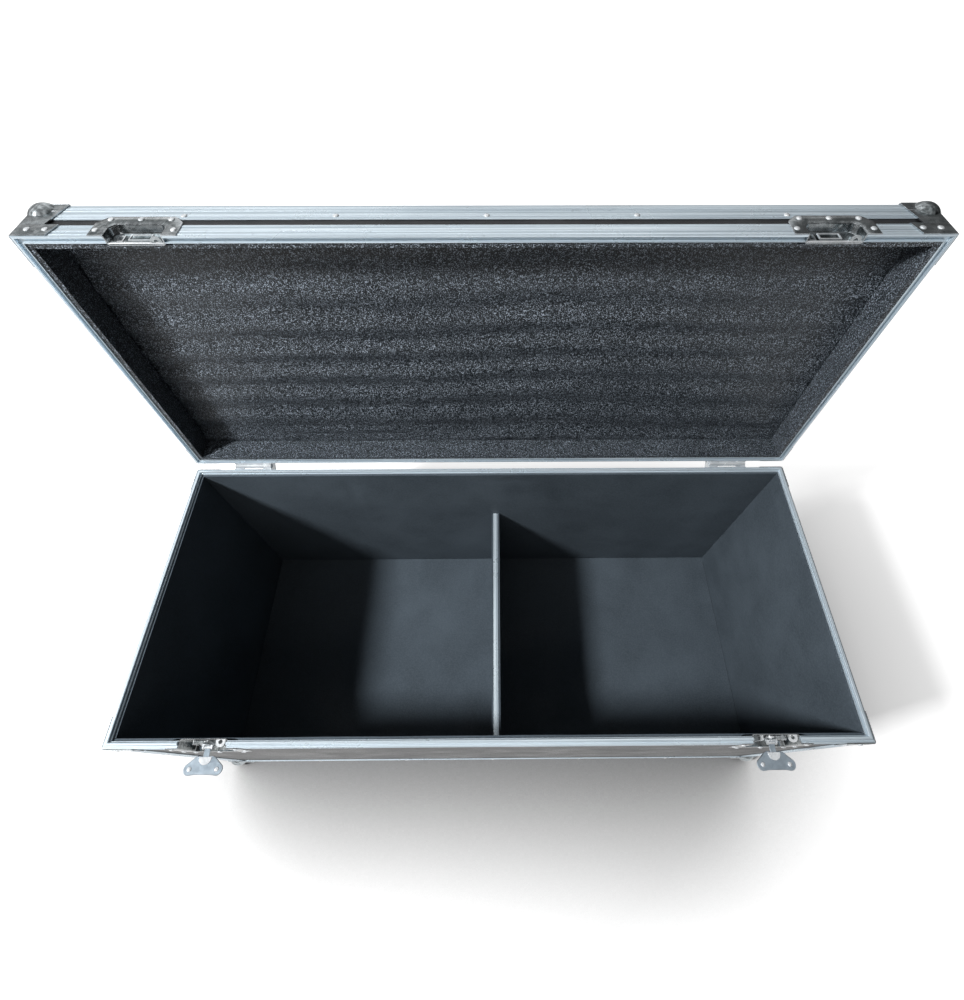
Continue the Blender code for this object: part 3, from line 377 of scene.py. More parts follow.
def lid_rim():
    """Lid rim extrusion above the rim: groove for the tongue, inner tail, ribbed outer leg."""
    ribs = ((0.0031, 0.0045), (0.0138, 0.0152), (0.0196, 0.0210))
    points = [(0.0032, 0), (0.0032, 0.005), (0.0093, 0.005), (0.0093, 0), (CORE, 0), (CORE, LID_TAIL),
              (CORE - WALL, LID_TAIL), (CORE - WALL, 0.0065), (WALL, 0.0065), (WALL, RIM_LEG)]
    points += ribbed((0, RIM_LEG), (0, 0), ribs, 0.0004) + [(0, 0)]
    return rounded(points, 0.0005, 2)


# Finishes: node helpers, then one function for each material of the case.


def fill(tree, socket, value):
    """Link an output to an input, or set the input to a value."""
    if isinstance(value, bpy.types.NodeSocket):
        tree.links.new(value, socket)
    else:
        socket.default_value = value


def add(tree, kind, inputs=None, **settings):
    """Node with its settings made and its inputs filled."""
    made = tree.nodes.new("ShaderNode" + kind)
    for key, value in settings.items():
        setattr(made, key, value)
    for key, value in (inputs or {}).items():
        fill(tree, made.inputs[key], value)
    return made


def noise(tree, vector, scale, detail=3.0, roughness=0.5):
    """Noise value of a vector."""
    return add(tree, "TexNoise", {"Vector": vector, "Scale": scale, "Detail": detail,
                                  "Roughness": roughness}).outputs["Fac"]


def cells(tree, vector, scale):
    """Distance to the nearest cell point."""
    return add(tree, "TexVoronoi", {"Vector": vector, "Scale": scale}).outputs["Distance"]


def spread(tree, value, low, high, to_low, to_high):
    """Value taken from one range to another, held at its ends."""
    return add(tree, "MapRange", {"Value": value, "From Min": low, "From Max": high, "To Min": to_low,
                                  "To Max": to_high}).outputs["Result"]


def maths(tree, operation, *values):
    """Result of an operation on numbers or outputs."""
    return add(tree, "Math", dict(enumerate(values)), operation=operation).outputs[0]


def blend(tree, factor, first, second):
    """Number between two others."""
    return add(tree, "Mix", {0: factor, 2: first, 3: second}).outputs[0]


def blend_colours(tree, factor, dark, light):
    """Colour between two others."""
    dark, light = (a if isinstance(a, bpy.types.NodeSocket) else (*a, 1) for a in (dark, light))
    return add(tree, "Mix", {0: factor, 6: dark, 7: light}, data_type="RGBA").outputs[2]


def graded(tree, value, low, high, dark, light, most=1.0):
    """Colour that goes from dark towards light as a value crosses a range."""
    return blend_colours(tree, spread(tree, value, low, high, 0.0, most), dark, light)


def bump(tree, height, strength, distance, normal=None):
    """Normal bent by a height."""
    inputs = {"Height": height, "Strength": strength, "Distance": distance}
    if normal is not None:
        inputs["Normal"] = normal
    return add(tree, "Bump", inputs).outputs["Normal"]


def link(tree, **sockets):
    """Fill the shader's inputs; an underscore stands for a space."""
    shader = tree.nodes["Principled BSDF"]
    for name, value in sockets.items():
        fill(tree, shader.inputs[name.replace("_", " ")], value)


def start_material(name, metallic, roughness, specular=0.5):
    """Material, its tree and its object coordinates."""
    material = bpy.data.materials.new(name)
    material.use_nodes = True
    tree = material.node_tree
    link(tree, Metallic=metallic, Roughness=roughness, Specular_IOR_Level=specular)
    return material, tree, add(tree, "TexCoord").outputs["Object"]


def streaks(tree, length, along, across, detail):
    """Noise drawn out along a bar: its running length and its section are scaled apart."""
    drawn = add(tree, "Mapping", {"Vector": length, "Scale": (along, across, 1.0)}).outputs["Vector"]
    return noise(tree, drawn, 1.0, detail)


def mill_aluminium():
    """Extruded aluminium: fine draw lines along the bar, dull smears and a few scuffs."""
    material, tree, place = start_material("mill_aluminium", 0.55, 0.3)
    length = add(tree, "UVMap", uv_map="length").outputs["UV"]
    lines = streaks(tree, length, 2.5, 900.0, 2.0)
    bands = streaks(tree, length, 0.6, 240.0, 1.0)
    smear = noise(tree, place, 9.0, 4.0, 0.6)
    scuff = noise(tree, place, 60.0, 5.0, 0.7)
    tone = graded(tree, maths(tree, "ADD", lines, bands), 0.78, 1.22, (0.38, 0.46, 0.52), (0.78, 0.88, 0.95))
    dull = graded(tree, scuff, 0.62, 0.75, (1.0, 1.0, 1.0), (0.55, 0.56, 0.57), 0.55)
    colour = add(tree, "Mix", {0: 1.0, 6: tone, 7: dull}, data_type="RGBA", blend_type="MULTIPLY").outputs[2]
    link(tree, Base_Color=colour, Roughness=spread(tree, smear, 0.3, 0.7, 0.20, 0.42),
         Normal=bump(tree, lines, 0.25, 0.0002))
    return material


def zinc(name, dark, light, rough_low, rough_high, metallic=1.0):
    """Plated steel: faint spangle, smears in its gloss, slow waves, fine pits and painted highlights on its
    edges.
    """
    material, tree, place = start_material(name, metallic, 0.25)
    spangle = add(tree, "TexVoronoi", {"Vector": place, "Scale": 160.0}).outputs["Color"]
    value = add(tree, "SeparateColor", {"Color": spangle}).outputs["Red"]
    smear = noise(tree, place, 45.0, 4.0, 0.6)
    pits = noise(tree, place, 900.0, 2.0)
    colour = graded(tree, maths(tree, "MULTIPLY_ADD", value, 0.22, smear), 0.42, 0.80, dark, light)
    # Painted highlight: where the bevel normal turns from the true normal, at edges and corners, the colour
    # is painted bright towards (0.80, 0.82, 0.86).
    rounded_off = add(tree, "Bevel", {"Radius": 0.0009}, samples=4).outputs["Normal"]
    true = add(tree, "NewGeometry").outputs["True Normal"]
    edge = add(tree, "VectorMath", {0: rounded_off, 1: true}, operation="DOT_PRODUCT").outputs["Value"]
    colour = graded(tree, edge, 0.99, 0.90, colour, (0.80, 0.82, 0.86), 0.85)
    link(tree, Base_Color=colour, Roughness=spread(tree, smear, 0.3, 0.7, rough_low, rough_high),
         Normal=bump(tree, pits, 0.12, 0.0003, bump(tree, smear, 1.0, 0.0008)))
    return material


def laminate():
    """Black laminate: pebbled film with a satin shine and pale rubs."""
    material, tree, place = start_material("black_laminate", 0.0, 0.4, 0.45)
    pebble = cells(tree, place, 620.0)
    rub = noise(tree, place, 14.0, 5.0, 0.65)
    colour = graded(tree, rub, 0.45, 0.75, (0.010, 0.010, 0.011), (0.030, 0.031, 0.033))
    link(tree, Base_Color=colour, Roughness=spread(tree, rub, 0.3, 0.7, 0.32, 0.5),
         Normal=bump(tree, pebble, 0.5, 0.0006))
    return material


def smooth_foam():
    """Smooth closed-cell foam: fine dimples, slow mottling and soft rubbed patches."""
    material, tree, place = start_material("smooth_foam", 0.0, 0.7, 0.35)
    dimple = cells(tree, place, 480.0)
    mottle = noise(tree, place, 7.0, 5.0, 0.6)
    grain = noise(tree, place, 320.0, 3.0, 0.6)
    rubbed = graded(tree, mottle, 0.3, 0.72, (0.038, 0.049, 0.060), (0.068, 0.086, 0.104))
    colour = graded(tree, grain, 0.35, 0.7, rubbed, (0.105, 0.128, 0.150), 0.35)
    fine = bump(tree, dimple, 0.35, 0.0006)
    link(tree, Base_Color=colour, Roughness=spread(tree, mottle, 0.3, 0.7, 0.55, 0.8),
         Normal=bump(tree, mottle, 0.3, 0.004, fine))
    return material


def coarse_foam():
    """Coarse foam: cut cells whose raised walls are painted bright as glints, over hollows painted dark as
    shade, in uneven patches.
    """
    material, tree, place = start_material("coarse_foam", 0.0, 0.4, 0.5)
    wobble = add(tree, "TexNoise", {"Vector": place, "Scale": 60.0, "Detail": 2.0}).outputs["Color"]
    moved = add(tree, "MixRGB", {"Fac": 0.012, "Color1": place, "Color2": wobble}).outputs["Color"]
    cut = cells(tree, moved, 420.0)
    fine, clump = noise(tree, place, 620.0, 4.0, 0.6), noise(tree, place, 220.0, 3.0, 0.6)
    fleck = blend(tree, 0.2, fine, clump)
    patch = noise(tree, place, 10.0, 4.0, 0.6)
    # Painted glint and shade: the height that bumps the cells also paints their walls bright and their
    # hollows near-black.
    base = graded(tree, fleck, 0.52, 0.61, (0.004, 0.006, 0.008), (0.35, 0.405, 0.47))
    colour = graded(tree, patch, 0.35, 0.7, base, (0.016, 0.019, 0.023), 0.25)
    link(tree, Base_Color=colour, Roughness=spread(tree, fleck, 0.4, 0.6, 0.3, 0.55),
         Normal=bump(tree, fleck, 0.35, 0.002, bump(tree, cut, 0.3, 0.0015)))
    return material


def rubber():
    """Moulded rubber: dull skin with dust in its grain."""
    material, tree, place = start_material("black_rubber", 0.0, 0.6, 0.4)
    grain = noise(tree, place, 500.0, 3.0)
    dust = noise(tree, place, 60.0, 4.0)
    colour = graded(tree, dust, 0.45, 0.75, (0.012, 0.012, 0.013), (0.035, 0.035, 0.036))
    link(tree, Base_Color=colour, Roughness=spread(tree, dust, 0.3, 0.7, 0.5, 0.75),
         Normal=bump(tree, grain, 0.3, 0.0004))
    return material


EXTRUSION = (mill_aluminium(), "aluminium_extrusion")
PLATED = (zinc("zinc_plate", (0.22, 0.25, 0.26), (0.56, 0.60, 0.62), 0.10, 0.24), "zinc_plate")
# Painted shade: a darker copy of the plated zinc for the latch trays, whose recess lies in shade.
SHADED_PLATED = (zinc("zinc_painted_shade", (0.09, 0.10, 0.10), (0.30, 0.32, 0.32), 0.12, 0.30), "zinc_plate")
WING_PLATE = (zinc("satin_zinc", (0.44, 0.53, 0.61), (0.58, 0.68, 0.77), 0.28, 0.46), "zinc_plate")
BRIGHT = (zinc("bright_steel", (0.68, 0.72, 0.75), (0.88, 0.91, 0.93), 0.16, 0.30, 0.65), "bright_steel")
LAMINATE = (laminate(), "black_laminate")
SMOOTH_FOAM = (smooth_foam(), "smooth_foam")
COARSE_FOAM = (coarse_foam(), "coarse_foam")
RUBBER = (rubber(), "black_rubber")


# Edge extrusions.


def edge_bars(carry, edge_z, up):
    """Four bars round an edge of the box; a section point stops short by its own depth, or by the core's."""
    a, b = double_angle().T
    shells = []
    for side in SIDES:
        place, end = mirrored(carry(wall(side)), edge_z, up), half_length(side) - np.maximum(a, CORE + GAP)
        shells.append(loft(np.stack([place(sign * end, a, b) for sign in (-1, 1)])))
    return shells


def rim_bars(section, z, carry):
    """Rim from one latch round the case to the other, mitred at the corners, and its middle bar."""
    front = carry(wall("front"))
    inward, up = (section + (0, z)).T
    end, middle = LATCH_X + RIM_NOTCH, LATCH_X - RIM_NOTCH
    turns = [corner(side, carry)(inward, inward, up) for side in (*SIDES[1:], "front")]
    return [loft(np.stack([front(end, inward, up), *turns, front(-end, inward, up)])),
            loft(np.stack([front(along, inward, up) for along in (-middle, middle)]))]


def posts():
    """Upright edge extrusions of the base."""
    section = double_angle()
    low, high = BOTTOM_Z + LEG + GAP, RIM_Z - RIM_LEG - GAP
    for side, name in zip(SIDES, CORNERS):
        post = loft(layered(((section, low), (section, high)), corner(side)))
        make_piece("corner_post_" + name, [post], EXTRUSION, "base", ["base_post_" + name])


def divider_edge():
    """Channel over the divider's top: a bent strip with soft corners, carried from front to rear."""
    inner, top = BOARD / 2 + GAP, DIVIDER_TOP
    outer, skirt, under = inner + 0.0012, top - 0.020, top - 0.0012
    section = rounded([(-outer, skirt), (-inner, skirt), (-inner, under), (inner, under), (inner, skirt),
                       (outer, skirt), (outer, top), (-outer, top)], 0.001, 3)
    reach = DEPTH / 2 - LINING_FACE - GAP
    rings = layered(((section, -reach), (section, reach)), lambda a, b, y: straight(DIVIDER_X + a, y, b))
    make_piece("divider_channel", [loft(rings)], EXTRUSION, "base", ["divider_cap"])


def extrusions():
    """All edge extrusions."""
    make_piece("base_bottom_bars", edge_bars(kept, BOTTOM_Z, 1), EXTRUSION, "base", ["base_bottom_frame"])
    make_piece("lid_top_bars", edge_bars(opened, LID_TOP_Z, -1), EXTRUSION, "lid", ["lid_top_frame"])
    make_piece("base_rim_bars", rim_bars(base_rim(), RIM_Z, kept), EXTRUSION, "base",
               ["base_rim_frame", "base_rim_middle"])
    make_piece("lid_rim_bars", rim_bars(lid_rim(), LID_RIM_Z, opened), EXTRUSION, "lid",
               ["lid_rim_frame", "lid_rim_middle"])
    posts()
    divider_edge()


# Pressed corners, braces and rivets.


def bent_plate(place, low, high, end_low, end_high):
    """Plate (out, level) bent round a corner: by bend + (bend + out)(cos, sin) from one wall to the next."""
    section = rounded(rectangle(GAP, GAP + PLATE, low, high), 0.0006, 2)
    out, level = section[:, 0], section[:, 1]
    end = end_low + (end_high - end_low) * (level - low) / (high - low)
    bend = 0.0022
    round_bend = [place(bend + (bend + out) * math.cos(angle), bend + (bend + out) * math.sin(angle), level)
                  for angle in np.radians(np.linspace(270, 180, 7))]
    return loft(np.stack([place(end, -out, level), *round_bend, place(-out, end, level)]))


def ball_patch(place):
    """Ball: arcs centre + radius (cos t axis + sin t around) from the outward diagonal to inside the case."""
    centre, radius = BALL_INSET, BALL_RADIUS
    axis = -np.ones(3) / math.sqrt(3)
    first = np.array([1, -1, 0]) / math.sqrt(2)
    second = np.cross(axis, first)
    cos, sin = circle(48)
    around = cos[:, None] * first + sin[:, None] * second

    def sphere(t):
        return centre + radius * (np.cos(t)[..., None] * axis + np.sin(t)[..., None] * around)

    steps = np.linspace(0, math.pi, 361)
    points = sphere(np.broadcast_to(steps[:, None], (len(steps), len(cos))))
    hidden = (points > -GAP).all(-1) & (points > CORE).any(-1)
    last = steps[hidden.argmax(0)]
    rows = np.linspace(0.02, 1, 18)[:, None] * last
    points = sphere(rows)
    return loft(place(points[..., 0], points[..., 1], points[..., 2]), caps=(True, False))


def ball_corners(body, carry, edge_z, up, high):
    """Pressed ball corners: a ball, a skirt bent round two walls and a petal on each of the three faces."""
    near, far, cut, end = ON_PLATE, -GAP, 0.016, 0.044
    end_cut, end_high = end - 0.011 * cut / high, end - 0.011
    level = rounded([(cut, near), (end, near), (end, 0.018), (0.018, end), (near, end), (near, cut),
                     (cut, cut)], 0.0025, 4)
    side_plan = rounded([(cut, far), (end, far), (end_cut, cut), (cut, cut)], 0.0003, 1)
    for side, name in zip(SIDES, CORNERS):
        place = mirrored(corner(side, carry), edge_z, up)
        shells = [bent_plate(place, cut, high, end_cut, end_high), plate(level, near, far, 0.0004, place),
                  plate(side_plan, near, far, 0.0003, facing(place)),
                  plate(side_plan, near, far, 0.0003, lambda a, b, c, place=place: place(c, a, b))]
        make_piece(body + "_corner_plate_" + name, shells, PLATED, body)
        ball = make_piece(body + "_ball_" + name, [ball_patch(place)], PLATED, body,
                          ["base_ball_corner_" + name] if body == "base" else ())
        shell = ball.modifiers.new("wall", "SOLIDIFY")
        shell.thickness = 0.0014
        shell.offset = -1


def braces():
    """Corner plates bent round both rims, narrower towards the rim."""
    for body, carry, z, up in (("base", kept, RIM_Z, -1), ("lid", opened, LID_RIM_Z, 1)):
        for side, name in zip(SIDES, CORNERS):
            brace = bent_plate(mirrored(corner(side, carry), z, up), 0.0005, 0.0245, 0.045, 0.052)
            make_piece(body + "_brace_" + name, [brace], PLATED, body)


def rivet_spots(body, carry):
    """Places and normals of all rivets of the base or of the lid."""
    edge_z, up, rim_z, rim_up = (BOTTOM_Z, 1, RIM_Z, -1) if body == "base" else (LID_TOP_Z, -1, LID_RIM_Z, 1)
    step, from_edge, pair = 0.198, 0.025, np.array([-1, 1])
    found = []

    def rivet(place, along, inward, up, out=(0, -1, 0)):
        """Note rivets of a place; each normal is what a step out moves the place by."""
        along, inward, up = (np.ravel(a) for a in np.broadcast_arrays(along, inward, up))
        here = place(along, inward, up)
        found.append((here, place(along + out[0], inward + out[1], up + out[2]) - here))

    for side in SIDES:
        place, half = carry(wall(side)), half_length(side)
        edge = mirrored(place, edge_z, up)
        row = step * np.arange(-2, 3) if half > 0.5 else step * 0.62 * np.arange(-1, 2)
        rivet(edge, row, 0, from_edge)
        rivet(edge, row, from_edge, 0, UNDER)
        rim = mirrored(corner(side, carry), rim_z, rim_up)
        rivet(rim, (0.017, 0.040), ON_PLATE, 0.013)
        other = mirrored(lambda a, b, c, p=place, h=half: p(h - a, b, c), rim_z, rim_up)
        rivet(other, (0.017, 0.040), ON_PLATE, 0.013)
        level = mirrored(corner(side, carry), edge_z, up)
        rivet(level, (0.034, 0.011), (0.011, 0.034), ON_PLATE, UNDER)
        if body == "base":
            for end in pair:
                rivet(place, end * (half - from_edge), 0, 0.2407 + 0.099 * pair)
    front = mirrored(carry(wall("front")), rim_z, rim_up)
    flange = 0.0495
    for x in (-LATCH_X, LATCH_X):
        low = 0.0655 if body == "base" else 0.0355
        rivet(front, x + np.array([-0.039, 0, 0.039]), -PROUD, low)
        if body == "base":
            rivet(front, x + flange * np.tile(pair, 2), -PROUD, (0.009, 0.009, 0.0475, 0.0475))
        else:
            rivet(front, x + flange * pair, -PROUD, 0.012)
    back = mirrored(carry(wall("back")), HINGE_Z, rim_up)
    for x in (-HINGE_X, HINGE_X):
        rivet(back, x + 0.024 * np.tile(pair, 2), -0.0023, (0.018, 0.018, 0.037, 0.037))
    if body == "base":
        for side in ("left", "right"):
            row = np.array([-0.05, 0, 0.05] * 2)
            rivet(wall(side), row, -PROUD, HANDLE_Z + 0.054 * np.repeat([1, -1], 3))
            rivet(wall(side), 0.071 * pair, -PROUD, HANDLE_Z)
    return (np.concatenate(column) for column in zip(*found))


def rivets():
    """Round heads of every rivet."""
    for body, carry in (("base", kept), ("lid", opened)):
        heads = domes(*rivet_spots(body, carry), HEAD_RADIUS, HEAD_RISE)
        make_piece(body + "_rivets", heads, BRIGHT, body, smooth=60)


# Foam.


def ripple(u, v, seed, length, height):
    """Height times 1/2 + half the mean of six sine waves of seeded direction, length and phase."""
    chance = np.random.default_rng(seed)
    angle, phase = chance.uniform(0, math.pi, 6), chance.uniform(0, 2 * math.pi, 6)
    wave = length * chance.uniform(0.6, 1.7, 6)
    u, v = np.broadcast_arrays(u, v)
    run = u[..., None] * np.cos(angle) + v[..., None] * np.sin(angle)
    return height * (0.5 + np.sin(2 * math.pi * run / wave + phase).mean(-1) / 2)


def hump(u, v, centre, size):
    """Round rise exp(-(u/a)^2 - (v/b)^2) about a centre."""
    return np.exp(-((u - centre[0]) / size[0]) ** 2 - ((v - centre[1]) / size[1]) ** 2)


def inside(u, v, low_u, high_u, low_v, high_v):
    """Where a point lies in a rectangle."""
    return (u > low_u) & (u < high_u) & (v > low_v) & (v < high_v)


def table(low_u, high_u, low_v, high_v, step):
    """Even table of two parameters over a rectangle."""
    u = np.linspace(low_u, high_u, max(2, round((high_u - low_u) / step) + 1))
    v = np.linspace(low_v, high_v, max(2, round((high_v - low_v) / step) + 1))
    return np.meshgrid(u, v, indexing="ij")


def linings():
    """Sheets of the walls and floor: inner faces ripple, and outer faces step in behind the dishes."""
    low, high = BOTTOM_Z + BOARD_EDGE, RIM_Z - 0.003
    for seed, side in enumerate(SIDES):
        half = half_length(side) - (BOARD_EDGE if side in LONG else LINING_FACE + GAP)
        u, v = table(-half, half, low, high, 0.009)
        face = LINING_FACE - ripple(u, v, seed + 3, 0.16, 0.0009)
        if side == "back":
            face -= (0.0016 * hump(u, v, (-0.035, 0.458), (0.05, 0.006))
                     + 0.0012 * hump(u, v, (0.3, 0.40), (0.01, 0.06)))
        back = np.full_like(u, BOARD_EDGE)
        if side == "front":
            for x in (-LATCH_X, LATCH_X):
                back[inside(u, v, x - 0.049, x + 0.049, RIM_Z - 0.075, RIM_Z)] = 0.0135
        if side in ("left", "right"):
            back[inside(u, v, -0.075, 0.075, HANDLE_Z - 0.058, HANDLE_Z + 0.058)] = 0.0135
        place = wall(side)
        sheet = between(place(u, face, v), place(u, back, v))
        piece = make_piece("lining_sheet_" + side, [sheet], SMOOTH_FOAM, "base", ["lining_" + side])
    inset = LINING_FACE + GAP
    u, v = table(-WIDTH / 2 + inset, WIDTH / 2 - inset, -DEPTH / 2 + inset, DEPTH / 2 - inset, 0.010)
    top = FLOOR_TOP_Z - ripple(u, v, 11, 0.2, 0.0010)
    top = np.where(np.abs(u - DIVIDER_X) < 0.02, FLOOR_TOP_Z, top)
    sheet = between(straight(u, v, top), straight(u, v, BOTTOM_Z + BOARD_EDGE))
    piece = make_piece("floor_sheet", [sheet], SMOOTH_FOAM, "base", ["lining_floor"])


def divider_sheets():
    """Foam on both faces of the divider, thinner over the channel's skirt."""
    near, far = BOARD / 2 + GAP, BOARD / 2 + GAP + 0.005
    skirt = DIVIDER_TOP - 0.020
    reach = DEPTH / 2 - LINING_FACE - GAP
    for seed, (name, sign) in enumerate(HANDS):
        u, v = table(-reach, reach, FLOOR_TOP_Z + GAP, DIVIDER_TOP, 0.010)
        v = np.where(np.abs(v - skirt) < 0.005, skirt - 0.0004, v)
        face = far - ripple(u, v, seed + 21, 0.15, 0.0006)
        back = np.where(v > skirt - 0.001, near + 0.0012 + GAP, near)
        sheet = between(straight(DIVIDER_X + sign * face, u, v), straight(DIVIDER_X + sign * back, u, v))
        piece = make_piece("divider_sheet_" + name, [sheet], SMOOTH_FOAM, "base", ["divider_foam_" + name])


def lid_foam():
    """Coarse foam of the lid: a top sheet that buckles in long waves, and four edge strips."""
    high = LID_TOP_Z - BOARD_EDGE
    low = high - 0.016
    x, y = WIDTH / 2 - BOARD_EDGE, DEPTH / 2 - BOARD_EDGE
    u, v = table(-x, x, -y, y, 0.006)
    bend = v + 0.005 * np.sin(u * 5.1 + 1.0) + 0.002 * np.sin(u * 13.0)
    waves = 0.5 + 0.5 * np.sin(2 * math.pi * bend / 0.060 + 0.4 * np.sin(u * 7.0)
                               + 0.9 * np.sin(v * 17 + 1.5 * u))
    patchy = ripple(u, v, 31, 0.4, 1.0)
    rise = 0.0054 * waves * (0.25 + patchy) * (1 - 0.35 * u / x) + ripple(u, v, 32, 0.05, 0.0012)
    crease = 0.004 * hump(u, v, (-0.27, y - 0.040), (0.16, 0.007))
    rise = np.clip(rise - crease, -0.003, 0.005)
    place = opened(straight)
    top = make_piece("lid_foam_sheet", [between(place(u, v, low + rise), place(u, v, high))], COARSE_FOAM,
                     "lid", ["lid_foam_top"])
    shells = []
    for seed, side in enumerate(SIDES):
        half = half_length(side) - BOARD_EDGE - (0 if side in LONG else 0.008 + GAP)
        u, v = table(-half, half, LID_RIM_Z + 0.0015, low - 0.0006, 0.006)
        face = BOARD_EDGE + 0.008 - ripple(u, v, seed + 41, 0.07, 0.0016)
        back = np.full_like(u, BOARD_EDGE)
        if side == "front":
            for x in (-LATCH_X, LATCH_X):
                back[inside(u, v, x - 0.046, x + 0.046, 0, LID_RIM_Z + 0.034)] = 0.0135
        carried = opened(wall(side))
        shells.append(between(carried(u, face, v), carried(u, back, v)))
    strips = make_piece("lid_foam_strips", shells, COARSE_FOAM, "lid", ["lid_foam_edge"])


# Dishes.


def dish_path(half, mouth, far, chamfer):
    """Path round a dish from one end of its mouth to the other, its far corners chamfered and softened."""
    step = math.copysign(chamfer, far - mouth)
    return rounded([(-half, mouth), (-half, far - step), (-half + chamfer, far), (half - chamfer, far),
                    (half, far - step), (half, mouth)], 0.003, 4, closed=False)


def dish_ring(half, tall, chamfer):
    """Closed path round a dish with four chamfered and softened corners."""
    a, b = half - chamfer, tall - chamfer
    return rounded([(half, -b), (half, b), (a, tall), (-a, tall), (-half, b), (-half, -b), (-a, -tall),
                    (a, -tall)], 0.003, 4)


def pressed(path, flange, spine, put, closed):
    """Pressed dish: rows from its floor's middle up the wall, over the lip, across the flange and back."""
    rows = [(spine, DISH_DEPTH), (path(-0.0030), DISH_DEPTH), (path(-0.0009), DISH_DEPTH - 0.0007),
            (path(0), DISH_DEPTH - 0.0028), (path(0), 0.0006), (path(0.0004), -0.0007),
            (path(0.0016), -PROUD), (flange(-0.0005), -PROUD), (flange(0), -PROUD + 0.0004),
            (flange(0), -GAP), (path(0.0012), -GAP), (path(0.0012), DISH_BACK - 0.002),
            (path(-0.0012), DISH_BACK), (spine, DISH_BACK)]
    points, faces, uv = grid(layered(rows, put), wrap_columns=closed)
    if not closed:
        count = len(spine)
        first = np.arange(len(rows)) * count
        faces += [first[::-1].tolist(), (first + count - 1).tolist()]
        uv = np.concatenate([uv, np.zeros((2 * len(rows), 2))])
    return turned_out((points, faces, uv))


def mouthed_dish(half, far, chamfer, flange_half, flange_far, put):
    """Dish open at the rim; up is counted from the rim into its half of the case."""
    def path(grow):
        return dish_path(half + grow, GAP, far + grow, chamfer)

    def flange(grow):
        return dish_path(flange_half + grow, GAP, flange_far + grow, 0.013)

    across = path(0)
    spine = np.stack([np.zeros(len(across)), np.minimum(across[:, 1], far * 0.55)], 1)
    return pressed(path, flange, spine, put, False)


def padlock_eye(put):
    """Tab with a round eye beside the rim."""
    centre = np.array([0.02675, 0.00865])
    plan = [(0.0195, FITTING_BACK), *arc(centre, 0.00725, 180, 360, 12).tolist(), (0.034, FITTING_BACK)]
    return eyed(plan, centre, 0.0032, 0.001, 0.0025, put)


def latch_dishes():
    """Latch dishes of the base with guides and padlock tabs, and keeper dishes of the lid with rings."""
    for name, sign in HANDS:
        front = wall("front")
        below = mirrored(lambda a, b, c: front(a + sign * LATCH_X, b, c), RIM_Z, -1)
        tray = mouthed_dish(0.036, 0.0605, 0.007, 0.056, 0.072, facing(below))
        # The latch tray takes the darker zinc: painted shade for its recess.
        make_piece("latch_tray_" + name, [tray], SHADED_PLATED, "base", ["latch_dish_" + name])
        shells = [padlock_eye(below)]
        for hand in (-1, 1):
            guide = rounded(rectangle(*sorted((hand * 0.01725, hand * 0.01845)), 0.0060, 0.03995), 0.0004, 2)
            shells.append(plate(guide, 0.0053, FITTING_BACK, 0.0002, facing(below)))
        make_piece("latch_fittings_" + name, shells, BRIGHT, "base")
        lid_front = opened(front)
        above = mirrored(lambda a, b, c: lid_front(a + sign * LATCH_X, b, c), LID_RIM_Z, 1)
        tray = mouthed_dish(0.036, 0.025, 0.0065, 0.056, 0.042, facing(above))
        make_piece("keeper_tray_" + name, [tray, padlock_eye(above)], PLATED, "lid", ["keeper_dish_" + name])
        keeper = rounded(rectangle(-0.0363, 0.0363, 0.0006, 0.0038), 0.0005, 2)
        shells = [plate(keeper, 0.010, 0.0114, 0.0003, facing(above))]
        for x, half, tall, middle in ((0.0, 0.0145, 0.0062, 0.0155), (-0.0245, 0.0042, 0.0065, 0.0130)):
            shells.append(framed(x, middle, half, tall, 0.0016, 0.0112, FITTING_BACK, facing(above)))
        make_piece("keeper_fittings_" + name, shells, BRIGHT, "lid")


def handle_dishes():
    """Dishes round the sprung handles."""
    def path(grow):
        return dish_ring(0.062 + grow, 0.045 + grow, 0.008)

    def flange(grow):
        return dish_ring(0.080 + grow, 0.063 + grow, 0.010)

    spine = np.clip(path(0), (-0.022, 0), (0.022, 0))
    for name in ("left", "right"):
        tray = pressed(path, flange, spine, facing(mirrored(wall(name), HANDLE_Z, 1)), True)
        make_piece("handle_tray_" + name, [tray], PLATED, "base", ["handle_dish_" + name])


# Moving pieces.


def wing_plan():
    """Plan of a wing as (along, outward from the pin): narrow root, two round lobes and a waist."""
    lobe = arc((0.0215, 0.0298), 0.0088, -38, 105, 12).tolist()
    root = [(0.0112, 0.0118), (0.0150, 0.0130)]
    right = root + lobe + [(0.0130, 0.0374)]
    return np.array(right + [(-a, b) for a, b in reversed(right)])


def wings():
    """Butterfly wings: a soft-edged plate with its neck, and a raised tongue, a rolled root and two studs."""
    for name, sign in HANDS:
        front = wall("front")

        def put(a, b, level, front=front, sign=sign):
            return front(a + sign * LATCH_X, PIN_INSET - b, LATCH_Z + level)

        neck = rounded(rectangle(-0.0047, 0.0047, 0.0, 0.0150), 0.0005, 2)
        shells = [plate(wing_plan(), -0.0034, -0.0014, 0.0006, put),
                  plate(neck, -0.0032, -0.0012, 0.0004, put)]
        make_piece("wing_plate_" + name, shells, WING_PLATE, "wing_" + name, ["latch_wing_" + name])
        half = [(0.0100, 0.0130)] + arc((0, 0.0145), 0.0100, 0, 90, 10).tolist()
        tongue = np.array(half + [(-a, b) for a, b in reversed(half[:-1])])
        roll = 0.0024 * np.stack(circle(16))
        rings = [put(a, -s * roll[0], s * roll[1])
                 for a, s in ((-0.0047, 0.85), (-0.0043, 1), (0.0043, 1), (0.0047, 0.85))]
        studs = put(np.array([-0.0212, 0.0212]), 0.0298, -0.0014)
        shells = [plate(tongue, -0.0016, -0.0006, 0.0004, put), loft(np.stack(rings)),
                  *domes(studs, [(0, 0, 1)] * 2, 0.0036, 0.0011, 4, 20)]
        make_piece("wing_studs_" + name, shells, BRIGHT, "wing_" + name)


